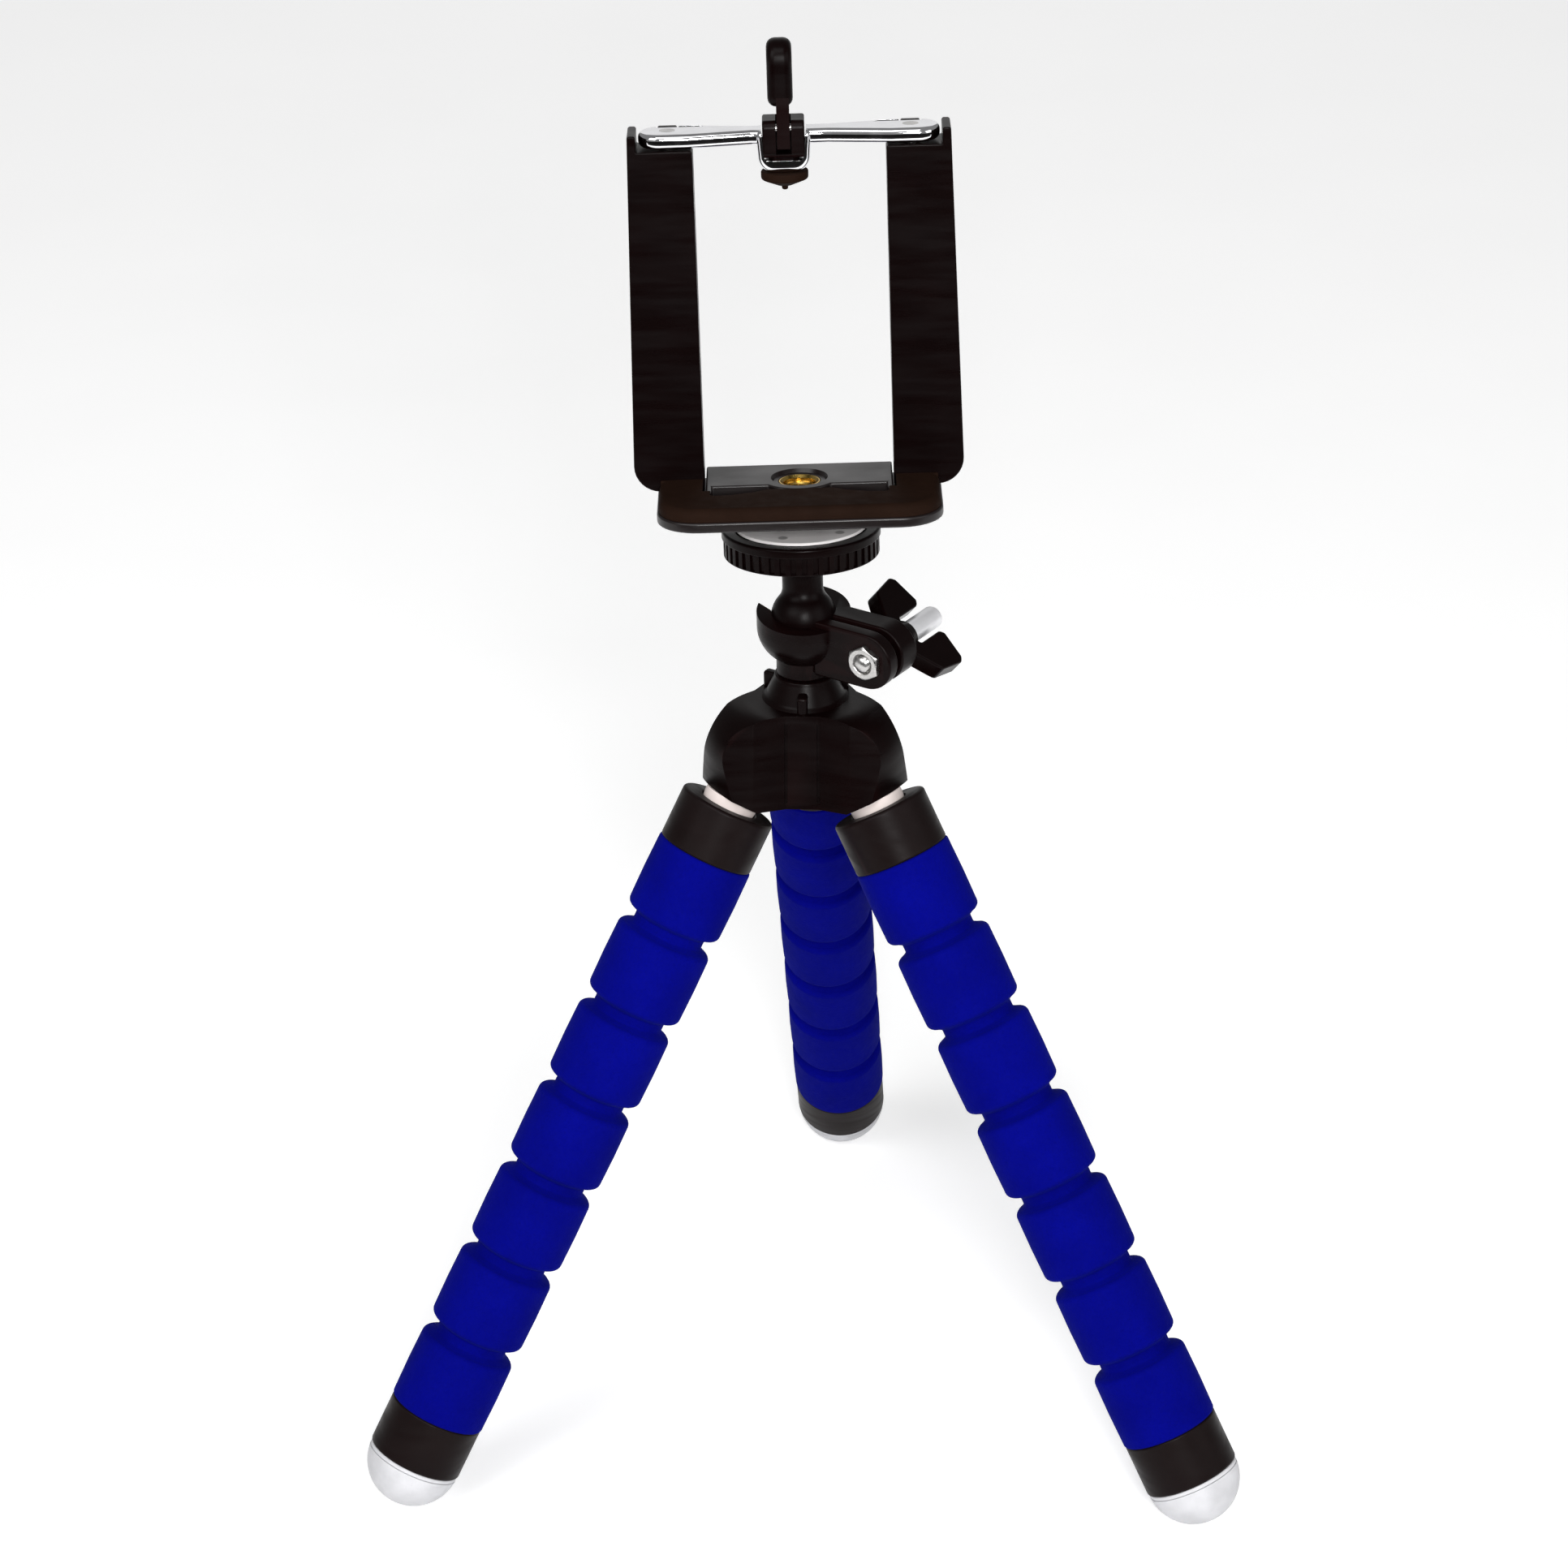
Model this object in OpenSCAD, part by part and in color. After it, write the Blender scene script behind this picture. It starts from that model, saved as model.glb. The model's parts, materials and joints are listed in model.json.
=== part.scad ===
// Small tripod with three bendable foam legs, a clamped ball head and a spring phone clip.
// Lengths are millimetres. +Z is up, and the camera side of the clip looks along -Y.

/* [Legs] */
// Diameter of the foam sleeve
foam_d = 19.1; // [17:0.1:21]
// Length of one foam segment
segment_len = 15; // [14:0.1:20]
// Width of the groove between two segments
groove_w = 3.2; // [3:0.1:4.2]
// Depth of the groove
groove_depth = 2.35; // [2:0.05:2.8]
// Radius of the soft edges of a segment
foam_edge_r = 1.2; // [0.8:0.1:1.5]
// Play between a foam neck and the hollow it turns in
neck_play = 0.3; // [0.2:0.05:0.4]
// Angle of the legs from upright
splay = 30.6; // [27:0.1:34]
// Distance of the leg tops from the hub's axis
leg_reach = 17.2; // [16.5:0.1:19]
// Turn of the legs against the head
hub_turn = -4; // [-20:1:20]
// Turn of each front leg towards the other
front_close = 3.1; // [0:0.1:4]
// Diameter of the bendable wire in a leg
wire_d = 3; // [2:0.1:4]

/* [Leg ends] */
// Diameter of the caps on both ends of a leg
cap_d = 18.8; // [17:0.1:20]
// Length of the top cap
top_cap_len = 10.6; // [10:0.1:13]
// Length of the bottom cap
bottom_cap_len = 10.6; // [9.5:0.1:13]
// Wall of the caps round the foam
cap_wall = 1.3; // [1:0.1:1.8]
// Depth to which the foam sits in a cap
foam_seat = 4; // [3:0.1:4.2]
// Diameter of the rubber foot
foot_d = 18.4; // [16:0.1:18.6]
// Height of the rubber foot
foot_h = 9.6; // [8:0.1:10]
// Height of the straight band at the foot's top
foot_band_h = 1; // [0.6:0.1:1.6]
// Diameter of the plug that holds the foot in its cap
foot_plug_d = 6; // [4:0.1:8]
// Length of that plug
foot_plug_len = 3; // [2:0.1:3.5]

/* [Hub] */
// Reach of the lobes past the leg tops
lobe_over = 3.1; // [2.3:0.1:4.3]
// Height of the dome above the leg tops
hub_top = 19; // [18:0.1:20]
// Radius of the dome's shoulder
hub_round = 9; // [7:0.1:10]
// Height of the flat underside above the leg tops
hub_low = 1.2; // [0.6:0.1:1.8]
// Distance of the middle of a side from the axis
side_reach = 13.6; // [12.8:0.1:14]
// Distance of the flat outer parts of a side from the axis
side_flat = 15.7; // [14.6:0.1:16.4]
// Lean of the sides towards the neck
side_lean = 13; // [8:0.5:14]
// Distance between the two upright grooves in a side
strip_w = 6.2; // [5:0.1:8]
// Angle at which the middle of a side runs out
side_angle = 19; // [14:1:24]
// Width of those grooves
side_groove_w = 0.6; // [0.4:0.1:1]
// Depth of those grooves
side_groove_depth = 0.4; // [0.2:0.1:0.6]
// Height of the neck's top above the leg tops
neck_top = 24; // [23:0.1:24.6]
// Radius of the neck at the dome
neck_low_r = 8; // [7.4:0.1:8.4]
// Radius of the neck at its top
neck_high_r = 5.8; // [5.4:0.1:6.6]
// Reach of the neck's three ribs
rib_reach = 9; // [8.6:0.1:9.3]
// Thickness of a rib
rib_t = 2; // [1.4:0.1:3]
// Drop of the ribs below the neck's top
rib_drop = 1.6; // [1:0.1:2.4]
// Gap between a lobe and its top cap
cap_gap = 1.8; // [1.7:0.1:2.4]
// Diameter of the pale collar in that gap
collar_d = 10.8; // [10:0.1:11.4]
// Diameter of the collar's shank in the hub
shank_d = 8; // [6.5:0.1:8.4]
// Length of the collar's shank
shank_len = 6; // [4:0.1:7]

/* [Ball head] */
// Height of the ball's centre above the leg tops
ball_z = 35.5; // [35.2:0.1:38]
// Diameter of the ball
ball_d = 12.6; // [11.8:0.1:13.2]
// Diameter of the ball's stem
stem_d = 7.8; // [6.8:0.1:8]
// Height of the stem's top above the ball's centre
stem_top = 12.7; // [12:0.1:13.6]
// Radius of the fillet between the ball and its stem
stem_fillet_r = 3.2; // [2:0.1:3.3]
// Radius of the cup
cup_r = 9; // [8.7:0.1:10]
// Radius of the cup's lower curve
cup_round = 7.5; // [6.5:0.1:8]
// Height of the cup's rim above the ball's centre, at its sides
cup_rim = 1.5; // [1.2:0.1:1.8]
// Slant of the rim, up towards the rear
rim_slant = 8; // [4:1:10]
// Radius of the cup's foot
cup_foot_r = 5.4; // [4.8:0.1:6]
// Direction of the cup's notch
notch_turn = 131; // [125:1:135]
// Room on each side of the stem in the notch
notch_play = 0.7; // [0.6:0.1:0.9]
// Lean of the head, away from the camera side
lean = 6; // [0:0.5:12]
// Lean of the head to the right
roll = -0.7; // [-3:0.1:3]
// Thickness of the cup's floor under the ball
cup_floor_t = 1; // [0.8:0.1:1.4]
// Diameter of the screw that holds the cup to the hub
hub_screw_d = 4; // [3:0.1:4.5]
// Diameter of that screw's head
hub_screw_head_d = 7.2; // [6:0.1:8]
// Thickness of that screw's head
hub_screw_head_h = 2.2; // [1.6:0.1:3]

/* [Ball clamp] */
// Direction of the clamp's lugs
clamp_turn = -34; // [-60:1:0]
// Distance of the clamp bolt from the ball's axis
clamp_reach = 16.3; // [15.5:0.1:18]
// Drop of the clamp bolt below the ball's centre
clamp_drop = 4; // [3:0.1:4.6]
// Radius of the lugs
lug_r = 5.6; // [5:0.1:5.8]
// Thickness of the lug with the nut
nut_lug_t = 2.9; // [2.5:0.1:3.6]
// Thickness of the lug at the knob
knob_lug_t = 5.2; // [4:0.1:6]
// Width of the split
split_w = 1.5; // [1:0.1:2]
// Diameter of the clamp bolt
bolt_d = 3; // [2.5:0.1:3.4]
// Width of the nut across its flats
nut_flats = 6.2; // [5.5:0.1:6.6]
// Thickness of the nut
nut_t = 2.4; // [2:0.1:3]
// Depth of the nut's pocket
nut_sink = 1.2; // [0.8:0.1:1.6]
// Length of the bolt that shows past the nut
bolt_past = 0.8; // [0.4:0.1:1.5]
// Diameter of the knob's boss
knob_boss_d = 7.2; // [6.4:0.1:8]
// Length of the knob's boss
knob_boss_len = 4; // [3.5:0.1:5]
// Span of the knob's wings
wing_span = 21.4; // [18:0.1:22]
// Height of a wing along the bolt, from the knob's face
wing_w = 11.2; // [10:0.1:12]
// Thickness of a wing
wing_t = 3.8; // [3:0.1:4.4]
// Angle of the wings
wing_turn = 40; // [0:1:90]
// Gap between a wing and the sleeve
wing_gap = 1; // [0.8:0.1:1.2]
// Diameter of the bright sleeve between the wings
sleeve_d = 4.4; // [4:0.1:5]
// Length of that sleeve
sleeve_len = 10.3; // [9:0.1:11]
// Thickness of the sleeve's closed end
sleeve_end_t = 1; // [0.8:0.1:1.4]

/* [Platform] */
// Diameter of the ribbed disc
disc_d = 30.2; // [27:0.1:33]
// Thickness of the disc
disc_t = 5.4; // [4.6:0.1:6.4]
// Thickness of the smooth flange over the ribs
flange_t = 1.8; // [1:0.1:2.4]
// Ribs round the disc
disc_ribs = 44; // [30:1:54]
// Width of the hollow between two ribs
rib_hollow_w = 1.3; // [0.8:0.1:1.4]
// Depth of that hollow
rib_hollow_depth = 0.45; // [0.2:0.05:0.6]
// Step from the flange in to the ribs
flange_step = 0.3; // [0.1:0.05:0.5]
// Diameter of the pale pad on the disc
disc_pad_d = 25; // [20:0.1:26]
// Thickness of that pad
disc_pad_t = 0.5; // [0.4:0.1:1]
// Diameter of the camera screw
stud_d = 6.2; // [6:0.05:6.4]
// Height of the camera screw above the pad
stud_out = 5.6; // [5:0.1:7.8]
// Diameter of the screw's root in the stem
stud_root_d = 4; // [3:0.1:5]
// Length of that root
stud_root_len = 7; // [5:0.1:8]

/* [Clip tray] */
// Width of the tray
tray_w = 53.5; // [50:0.1:58]
// Reach of the tray in front of the screw
tray_front = 20; // [17:0.1:22]
// Reach of the tray behind the screw
tray_back = 8.4; // [8:0.1:10]
// Thickness of the tray's floor
tray_floor_t = 2; // [1.6:0.1:2.6]
// Radius of the tray's front corners
tray_corner_r = 8; // [5:0.1:9]
// Gap between the pale pad and the tray's floor
tray_lift = 4.9; // [4.4:0.1:6]
// Radius of the boss under the tray
boss_r = 5.3; // [5:0.1:6]
// Height of the raised plate
plate_h = 2.2; // [1.6:0.1:2.8]
// Reach of the raised plate in front of the screw
plate_front = 5.9; // [5:0.1:6.4]
// Radius of the plate's round front
plate_round_r = 7.3; // [6.8:0.1:7.6]
// Thickness of the rubber pad
pad_t = 2.4; // [2:0.1:3]
// Distance of the pad's rear edge in front of the screw
pad_back = 7.7; // [7.7:0.1:8.4]
// Inset of the pad from the tray's edge
pad_inset = 0.4; // [0.2:0.1:1]
// Diameter of the brass thread insert
insert_d = 8; // [7.4:0.1:8.6]
// Diameter of the round recess over the insert
recess_d = 9.8; // [9:0.1:10.4]
// Depth of that recess
recess_h = 0.7; // [0.4:0.1:1.2]

/* [Clip arms] */
// Distance of an arm's inner face from the tray's side
arm_inset = 8.85; // [8:0.05:9.4]
// Width of an arm at its foot
arm_low_w = 13.3; // [12.5:0.1:15]
// Width of an arm at its top
arm_top_w = 12; // [11.6:0.1:13]
// Depth of an arm
arm_depth = 8.4; // [8:0.1:10]
// Height of an arm, under the bracket
arm_h = 65.5; // [60:0.1:75]
// Radius of the arm's lower outer corner
arm_corner_r = 5; // [3:0.1:6]
// Thickness of the lip at the top of an arm
arm_lip = 1.6; // [1:0.1:1.8]
// Width of the tab behind the bracket at the top of an arm
tab_w = 3.6; // [3:0.1:5]
// Thickness of that tab
tab_t = 1.6; // [1.2:0.1:1.8]
// Distance of the slide rods from an arm's inner face
rod_inset = 4.6; // [4.4:0.1:5.4]
// Diameter of the slide rods
rod_d = 3; // [2.4:0.1:3.2]
// Thickness of the rods' feet
rod_foot_t = 1.5; // [1:0.1:2]
// Diameter of the spring channel in an arm
channel_d = 7; // [6.6:0.1:7.2]
// Height of the channel's floor above the arm's foot
channel_floor = 6; // [5.5:0.1:8]
// Length of the guide at the top of the channel
guide_len = 5.4; // [4:0.1:7]
// Height of the rods' feet above the channel's floor
rod_foot_lift = 4; // [2:0.1:6]
// Diameter of the arm screws
arm_screw_d = 2; // [1.6:0.1:2.4]
// Diameter of their heads
arm_screw_head_d = 3.4; // [3:0.1:3.8]
// Thickness of their heads
arm_screw_head_h = 1; // [0.8:0.1:1.2]
// Distance of the inner arm screws from an arm's inner face
arm_screw_inset = 2.4; // [2.2:0.1:3]
// Distance between the two screws of an arm
arm_screw_pitch = 4; // [3.9:0.1:5]
// Length of the arm screws in the arms
arm_screw_len = 5; // [3:0.1:5.2]

/* [Springs] */
// Diameter of the spring wire
spring_wire_d = 0.8; // [0.5:0.1:1]
// Diameter of the spring at the middle of its wire
spring_d = 5; // [4.8:0.1:5.2]
// Turns of a spring
spring_turns = 14; // [8:1:18]

/* [Bracket and finger] */
// Thickness of the bright bracket
bar_t = 2.8; // [2:0.1:3.2]
// Depth of the bracket at its waist
waist_depth = 5; // [4:0.1:6]
// Length of the straight waist on each side of the yoke
waist_len = 2; // [1:0.1:4]
// Radius of the bracket's end corners
bar_corner_r = 4; // [3:0.1:4.2]
// Room between the bracket's ends and the arms' lips
bar_end_play = 0.4; // [0.3:0.1:0.8]
// Width of the bracket's yoke, outside
yoke_w = 10.4; // [9.6:0.1:12]
// Depth of the yoke from front to back
yoke_depth = 6.4; // [5.5:0.1:7]
// Drop of the yoke below the bracket
yoke_drop = 5.3; // [4.8:0.1:6]
// Thickness of the yoke's strap
yoke_t = 1; // [0.8:0.1:1.2]
// Thickness of the strap under the block
yoke_floor_t = 2.4; // [1.6:0.1:2.6]
// Radius of the yoke's lower corners, outside
yoke_corner_r = 3; // [2:0.1:3.4]
// Radius of the yoke's lower corners, inside
yoke_inner_r = 0.8; // [0.4:0.1:1]
// Offset of the yoke from the bracket's middle
yoke_shift = -1; // [-1.5:0.1:1.5]
// Depth of the black block, and its height
block_size = 7; // [6.8:0.1:8]
// Gap under the block
block_lift = 0.5; // [0.3:0.1:0.8]
// Width of the slot in the block
slot_w = 2.9; // [2.6:0.1:3.2]
// Depth of the slot from the block's front
slot_depth = 6.2; // [6.1:0.1:6.4]
// Height of the slot
slot_h = 6.2; // [6:0.1:6.4]
// Diameter of the finger's pivot pin
pin_d = 1.4; // [1.2:0.1:1.6]
// Distance of the pin behind the block's front and below its top
pin_inset = 1.5; // [1.4:0.1:1.7]
// Thickness of the finger's stem
finger_stem_t = 2.4; // [2:0.1:2.5]
// Length of the finger's tail under the pin
tail_len = 3.9; // [3:0.1:4.1]
// Thickness of that tail from front to back
tail_t = 1.9; // [1.6:0.1:2]
// Thickness of the finger
finger_t = 4.8; // [4:0.1:5.4]
// Depth of the finger from front to back
finger_depth = 8; // [6:0.1:9]
// Gap between the block and the finger's paddle
finger_gap = 2.4; // [0.6:0.1:3]
// Offset of the paddle from its stem
finger_shift = -0.9; // [-1.1:0.1:1.1]
// Height of the finger's paddle
finger_h = 12.4; // [10:0.1:15]
// Depth of the bumper's plug in the block
plug_grip = 0.4; // [0.3:0.1:0.5]
// Diameter of the rubber bumper
bumper_d = 8.8; // [7.5:0.1:9.5]
// Height of the bumper
bumper_h = 2.9; // [2.4:0.1:3.4]
// Height of the bumper's straight rim
bumper_rim_h = 1.4; // [1:0.1:1.8]
// Height of the small nub under the bumper
nub_h = 0.8; // [0.5:0.1:1.2]

/* [Fits] */
// Radial play of turning and sliding fits
fit_play = 0.05; // [0.02:0.01:0.1]
// Gap between faces that pass each other
face_gap = 0.3; // [0.2:0.05:0.4]

/* [Hidden] */
LEGS = ["left", "right", "rear"];
SEGMENTS = 7;
$fn = 64;

BLACK = "#15100e";
RUBBER = "#241a10";
STEEL = "#c9c9cd";
BRASS = "#b5923f";
FOAM = "#00009a";
WHITE = "#e6e6ea";
PALE = "#d9d0c4";
over = 0.5; // how far a cut runs past a face

// Legs: t runs down a leg's axis from the top of its top cap
azimuths = [210 + front_close + hub_turn, 330 - front_close + hub_turn, 90 + hub_turn];
sides = [for (k = [0 : 2]) (azimuths[k] + azimuths[(k + 1) % 3] + (k == 1 ? 360 : 0)) / 2];
foam_r = foam_d / 2;
neck_r = foam_r - groove_depth;
pitch = segment_len + groove_w;
foam_top = top_cap_len;
foam_end = foam_top + SEGMENTS * pitch - groove_w;
foot_top = foam_end + bottom_cap_len;
cap_r = cap_d / 2;
seat_r = cap_r - cap_wall;
wire_bore_r = wire_d / 2 + fit_play;
wire_top = -cap_gap - shank_len - wire_d;
wire_end = foam_end + foam_seat + face_gap;
pivot_t = -cap_gap / 2;
collar_r = collar_d / 2;
foot_dome_h = foot_h - foot_band_h;
foot_dome_r = (pow(foot_d / 2, 2) + pow(foot_dome_h, 2)) / (2 * foot_dome_h);
foot_centre = foot_top + foot_h - foot_dome_r;

// The part stands on its feet, with the middle of its footprint at the origin
foot_reach = leg_reach + foot_centre * sin(splay);
hub_r = leg_reach + lobe_over;
feet_x = [for (a = azimuths) foot_reach * cos(a)];
feet_y = [for (a = azimuths) foot_reach * sin(a)];
hub_x = -(max(feet_x) + min(feet_x)) / 2;
hub_y = -(max(feet_y) + min(feet_y)) / 2;
hub_z = foot_centre * cos(splay) + foot_dome_r;

// Head, from the ball's centre
ball_r = ball_d / 2;
notch_r = stem_d / 2 + notch_play;
rim_high = cup_rim + cup_r * tan(rim_slant);
cup_low = neck_top + face_gap - ball_z;
screw_end = ball_z - ball_r - cup_floor_t;
nut_face = split_w / 2 + nut_lug_t;
knob_face = split_w / 2 + knob_lug_t + face_gap;
wing_low = knob_face + face_gap;
sleeve_low = knob_face + knob_boss_len;
sleeve_end = sleeve_low + sleeve_len;
bolt_low = nut_face - nut_sink + nut_t + bolt_past;
bolt_end = sleeve_end - sleeve_end_t;

// Platform and clip, along the leaning axis from the ball's centre
disc_low = stem_top + face_gap;
pad_low = disc_low + disc_t;
pad_top = pad_low + disc_pad_t;
tray_low = pad_top + tray_lift;
floor_top = tray_low + tray_floor_t;
plate_top = floor_top + plate_h;
insert_top = plate_top - recess_h;
boss_low = pad_top + face_gap;
arm_gap = tray_w - 2 * arm_inset;
arm_in = arm_gap / 2;
arm_mid = arm_depth / 2;
arm_top = floor_top + arm_h;
rod_x = arm_in + rod_inset;
tab_low_x = rod_x - tab_w / 2;
channel_low = floor_top + channel_floor;
channel_high = arm_top - guide_len;
rod_low = channel_low + rod_foot_lift;
rod_foot_r = channel_d / 2 - face_gap;
bar_low = arm_top + face_gap;
bar_top = bar_low + bar_t;
bar_end = arm_in + arm_top_w - arm_lip - bar_end_play;
yoke_low = bar_low - yoke_drop;
block_low = yoke_low + yoke_floor_t + block_lift;
block_top = block_low + block_size;
block_w = yoke_w - 2 * yoke_t - 2 * face_gap;
block_front = arm_mid - block_size / 2;
plug_r = bumper_d / 4;
neck_of_block_r = bumper_d / 3;
pin_y = block_front + pin_inset;
pin_z = block_top - pin_inset;
finger_low = block_top + finger_gap;
screw_x = [arm_in + arm_screw_inset, arm_in + arm_screw_inset + arm_screw_pitch];

// Spring wire on points: rings of a helix, and the gap from one turn to the next
RINGS = 8;
SIDES = 6;
spring_low = rod_low + rod_foot_t + spring_wire_d;
spring_high = channel_high - spring_wire_d;
spring_rings = RINGS * spring_turns;
function spring_centre(i) = let (a = 360 * i / RINGS)
    [spring_d / 2 * cos(a), spring_d / 2 * sin(a),
     spring_low + (spring_high - spring_low) * i / spring_rings];
function spring_point(i, k) = let (a = 360 * i / RINGS, b = 360 * k / SIDES, w = spring_wire_d / 2)
    spring_centre(i) + w * [cos(b) * cos(a), cos(b) * sin(a), sin(b)];
spring_gap = min([for (i = [0 : spring_rings - RINGS])
    norm(spring_centre(i + RINGS) - spring_centre(i))]) - spring_wire_d;
echo(str("least gap between the spring's turns: ", spring_gap, " mm"));

// Places
module at_hub() { translate([hub_x, hub_y, hub_z]) children(); }
module leg_axis(k) {
    rotate([0, 0, azimuths[k]]) translate([leg_reach, 0, 0]) rotate([0, 180 - splay, 0]) children();
}
module at_leg(k) { at_hub() leg_axis(k) children(); }
module at_head() { at_hub() translate([0, 0, ball_z]) children(); }
module bolt_axis() {
    rotate([0, 0, clamp_turn]) translate([clamp_reach, 0, -clamp_drop]) rotate([-90, 0, 0]) children();
}
module at_bolt() { at_head() bolt_axis() children(); }
module at_clip() { at_head() rotate([-lean, 0, 0]) rotate([0, roll, 0]) children(); }
module at_yoke() { at_clip() translate([yoke_shift, 0, 0]) children(); }

// Shared shapes
module span(low, high, r) { translate([0, 0, low]) cylinder(h = high - low, r = r); }
module both_sides() {
    children();
    mirror([1, 0, 0]) children();
}
module round_block(r, low, high, edge) {
    translate([0, 0, low]) rotate_extrude() union() {
        square([r - edge, high - low]);
        translate([0, edge]) square([r, high - low - 2 * edge]);
        for (z = [edge, high - low - edge]) translate([r - edge, z]) circle(edge);
    }
}
module pan_head(low, head_r, head_h, r, high) {
    span(low, low + head_h, head_r);
    span(low, high, r);
}

// Foam legs
module foam_segment(k, i) {
    top = foam_top + (i - 1) * pitch;
    end = top + segment_len;
    color(FOAM) at_leg(k) difference() {
        union() {
            round_block(foam_r, top, end, foam_edge_r);
            if (i == 1) span(top - foam_seat, top + foam_edge_r, seat_r - fit_play);
            if (i == SEGMENTS) span(end - foam_edge_r, end + foam_seat, seat_r - fit_play);
            if (i < SEGMENTS) translate([0, 0, end + groove_w / 2]) sphere(neck_r);
        }
        if (i > 1) translate([0, 0, top - groove_w / 2]) sphere(neck_r + neck_play);
        span(top - pitch, end + pitch, wire_bore_r);
    }
}

module top_cap(k) {
    color(BLACK) at_leg(k) difference() {
        span(0, top_cap_len, cap_r);
        translate([0, 0, pivot_t]) sphere(collar_r + neck_play);
        span(top_cap_len - foam_seat - fit_play, top_cap_len + over, seat_r);
        span(0, top_cap_len, wire_bore_r);
    }
}

module bottom_cap(k) {
    color(BLACK) at_leg(k) difference() {
        span(foam_end, foot_top, cap_r);
        span(foam_end - over, foam_end + foam_seat + fit_play, seat_r);
        span(foam_end, wire_end + face_gap, wire_bore_r);
        span(foot_top - foot_plug_len - face_gap, foot_top + over, foot_plug_d / 2 + fit_play);
    }
}

module foot(k) {
    color(WHITE) at_leg(k) {
        intersection() {
            translate([0, 0, foot_centre]) sphere(foot_dome_r, $fn = 96);
            span(foot_top, foot_top + foot_h + over, foot_d / 2);
        }
        span(foot_top - foot_plug_len, foot_top + foot_band_h, foot_plug_d / 2);
    }
}

module leg_wire(k) {
    color(STEEL) at_leg(k) span(wire_top, wire_end, wire_d / 2);
}

// Hub
module dome_profile() {
    translate([0, hub_low]) square([hub_r, hub_top - hub_round - hub_low]);
    translate([0, hub_low]) square([hub_r - hub_round, hub_top - hub_low]);
    translate([hub_r - hub_round, hub_top - hub_round]) circle(hub_round);
}

// Leans a side in towards the neck, from its foot up
module leaning() {
    translate([side_reach, 0, hub_low]) rotate([0, -side_lean, 0]) translate([-side_reach, 0, -hub_low])
        children();
}

module side_cut() {
    run = 2 * hub_r;
    half = strip_w / 2;
    flat_y = half + (side_flat - side_reach) / tan(side_angle);
    translate([0, 0, -run]) linear_extrude(2 * run) polygon([
        [side_reach, -half], [side_reach, half], [side_flat, flat_y], [side_flat, run],
        [run, run], [run, -run], [side_flat, -run], [side_flat, -flat_y]]);
}

module side_grooves() {
    low = 2 * hub_low;
    for (side = [-1, 1])
        translate([side_reach - side_groove_depth, side * strip_w / 2 - side_groove_w / 2, low])
            cube([2 * side_groove_depth, side_groove_w, hub_top - low - hub_low]);
}

module hub() {
    color(BLACK) at_hub() difference() {
        union() {
            difference() {
                rotate_extrude($fn = 96) dome_profile();
                for (a = sides) rotate([0, 0, a]) leaning() {
                    side_cut();
                    side_grooves();
                }
            }
            span(hub_low, hub_top, neck_low_r);
            translate([0, 0, hub_top]) cylinder(h = neck_top - hub_top, r1 = neck_low_r, r2 = neck_high_r);
            for (a = sides) rotate([0, 0, a]) translate([0, -rib_t / 2, hub_top - hub_round])
                cube([rib_reach, rib_t, neck_top - rib_drop - hub_top + hub_round]);
        }
        for (k = [0 : 2]) leg_axis(k) {
            span(-cap_gap, foam_d, foam_d);
            span(-cap_gap - shank_len, 0, shank_d / 2 + fit_play);
            span(wire_top, 0, wire_bore_r);
        }
        span(hub_low - over, hub_low + hub_screw_head_h, hub_screw_head_d / 2 + fit_play);
        span(hub_low, neck_top + over, hub_screw_d / 2 + fit_play);
    }
}

module hub_screw() {
    head_h = hub_screw_head_h - fit_play;
    end = screw_end - fit_play;
    color(STEEL) at_hub() pan_head(hub_low, hub_screw_head_d / 2, head_h, hub_screw_d / 2, end);
}

module leg_collars() {
    color(PALE) at_hub() for (k = [0 : 2]) leg_axis(k) difference() {
        union() {
            intersection() {
                translate([0, 0, pivot_t]) sphere(collar_r);
                span(-cap_gap, collar_r, collar_r + over);
            }
            span(-cap_gap - shank_len + fit_play, pivot_t, shank_d / 2);
        }
        span(wire_top, collar_d, wire_bore_r);
    }
}

// Ball head
module cup_profile() {
    inner = cup_r - cup_round;
    translate([0, cup_low]) square([cup_foot_r, -inner - cup_low]);
    translate([0, -inner]) square([cup_r, inner + rim_high]);
    translate([0, -inner - cup_round]) square([inner, cup_round]);
    intersection() {
        translate([inner, -inner]) circle(cup_round);
        translate([0, -inner - cup_round]) square([cup_r, cup_round]);
    }
}

module lug(low, high) {
    span(low, high, lug_r);
    arm = clamp_reach - cup_r / 2;
    translate([-arm, -lug_r, low]) cube([arm, 2 * lug_r, high - low]);
}

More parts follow.
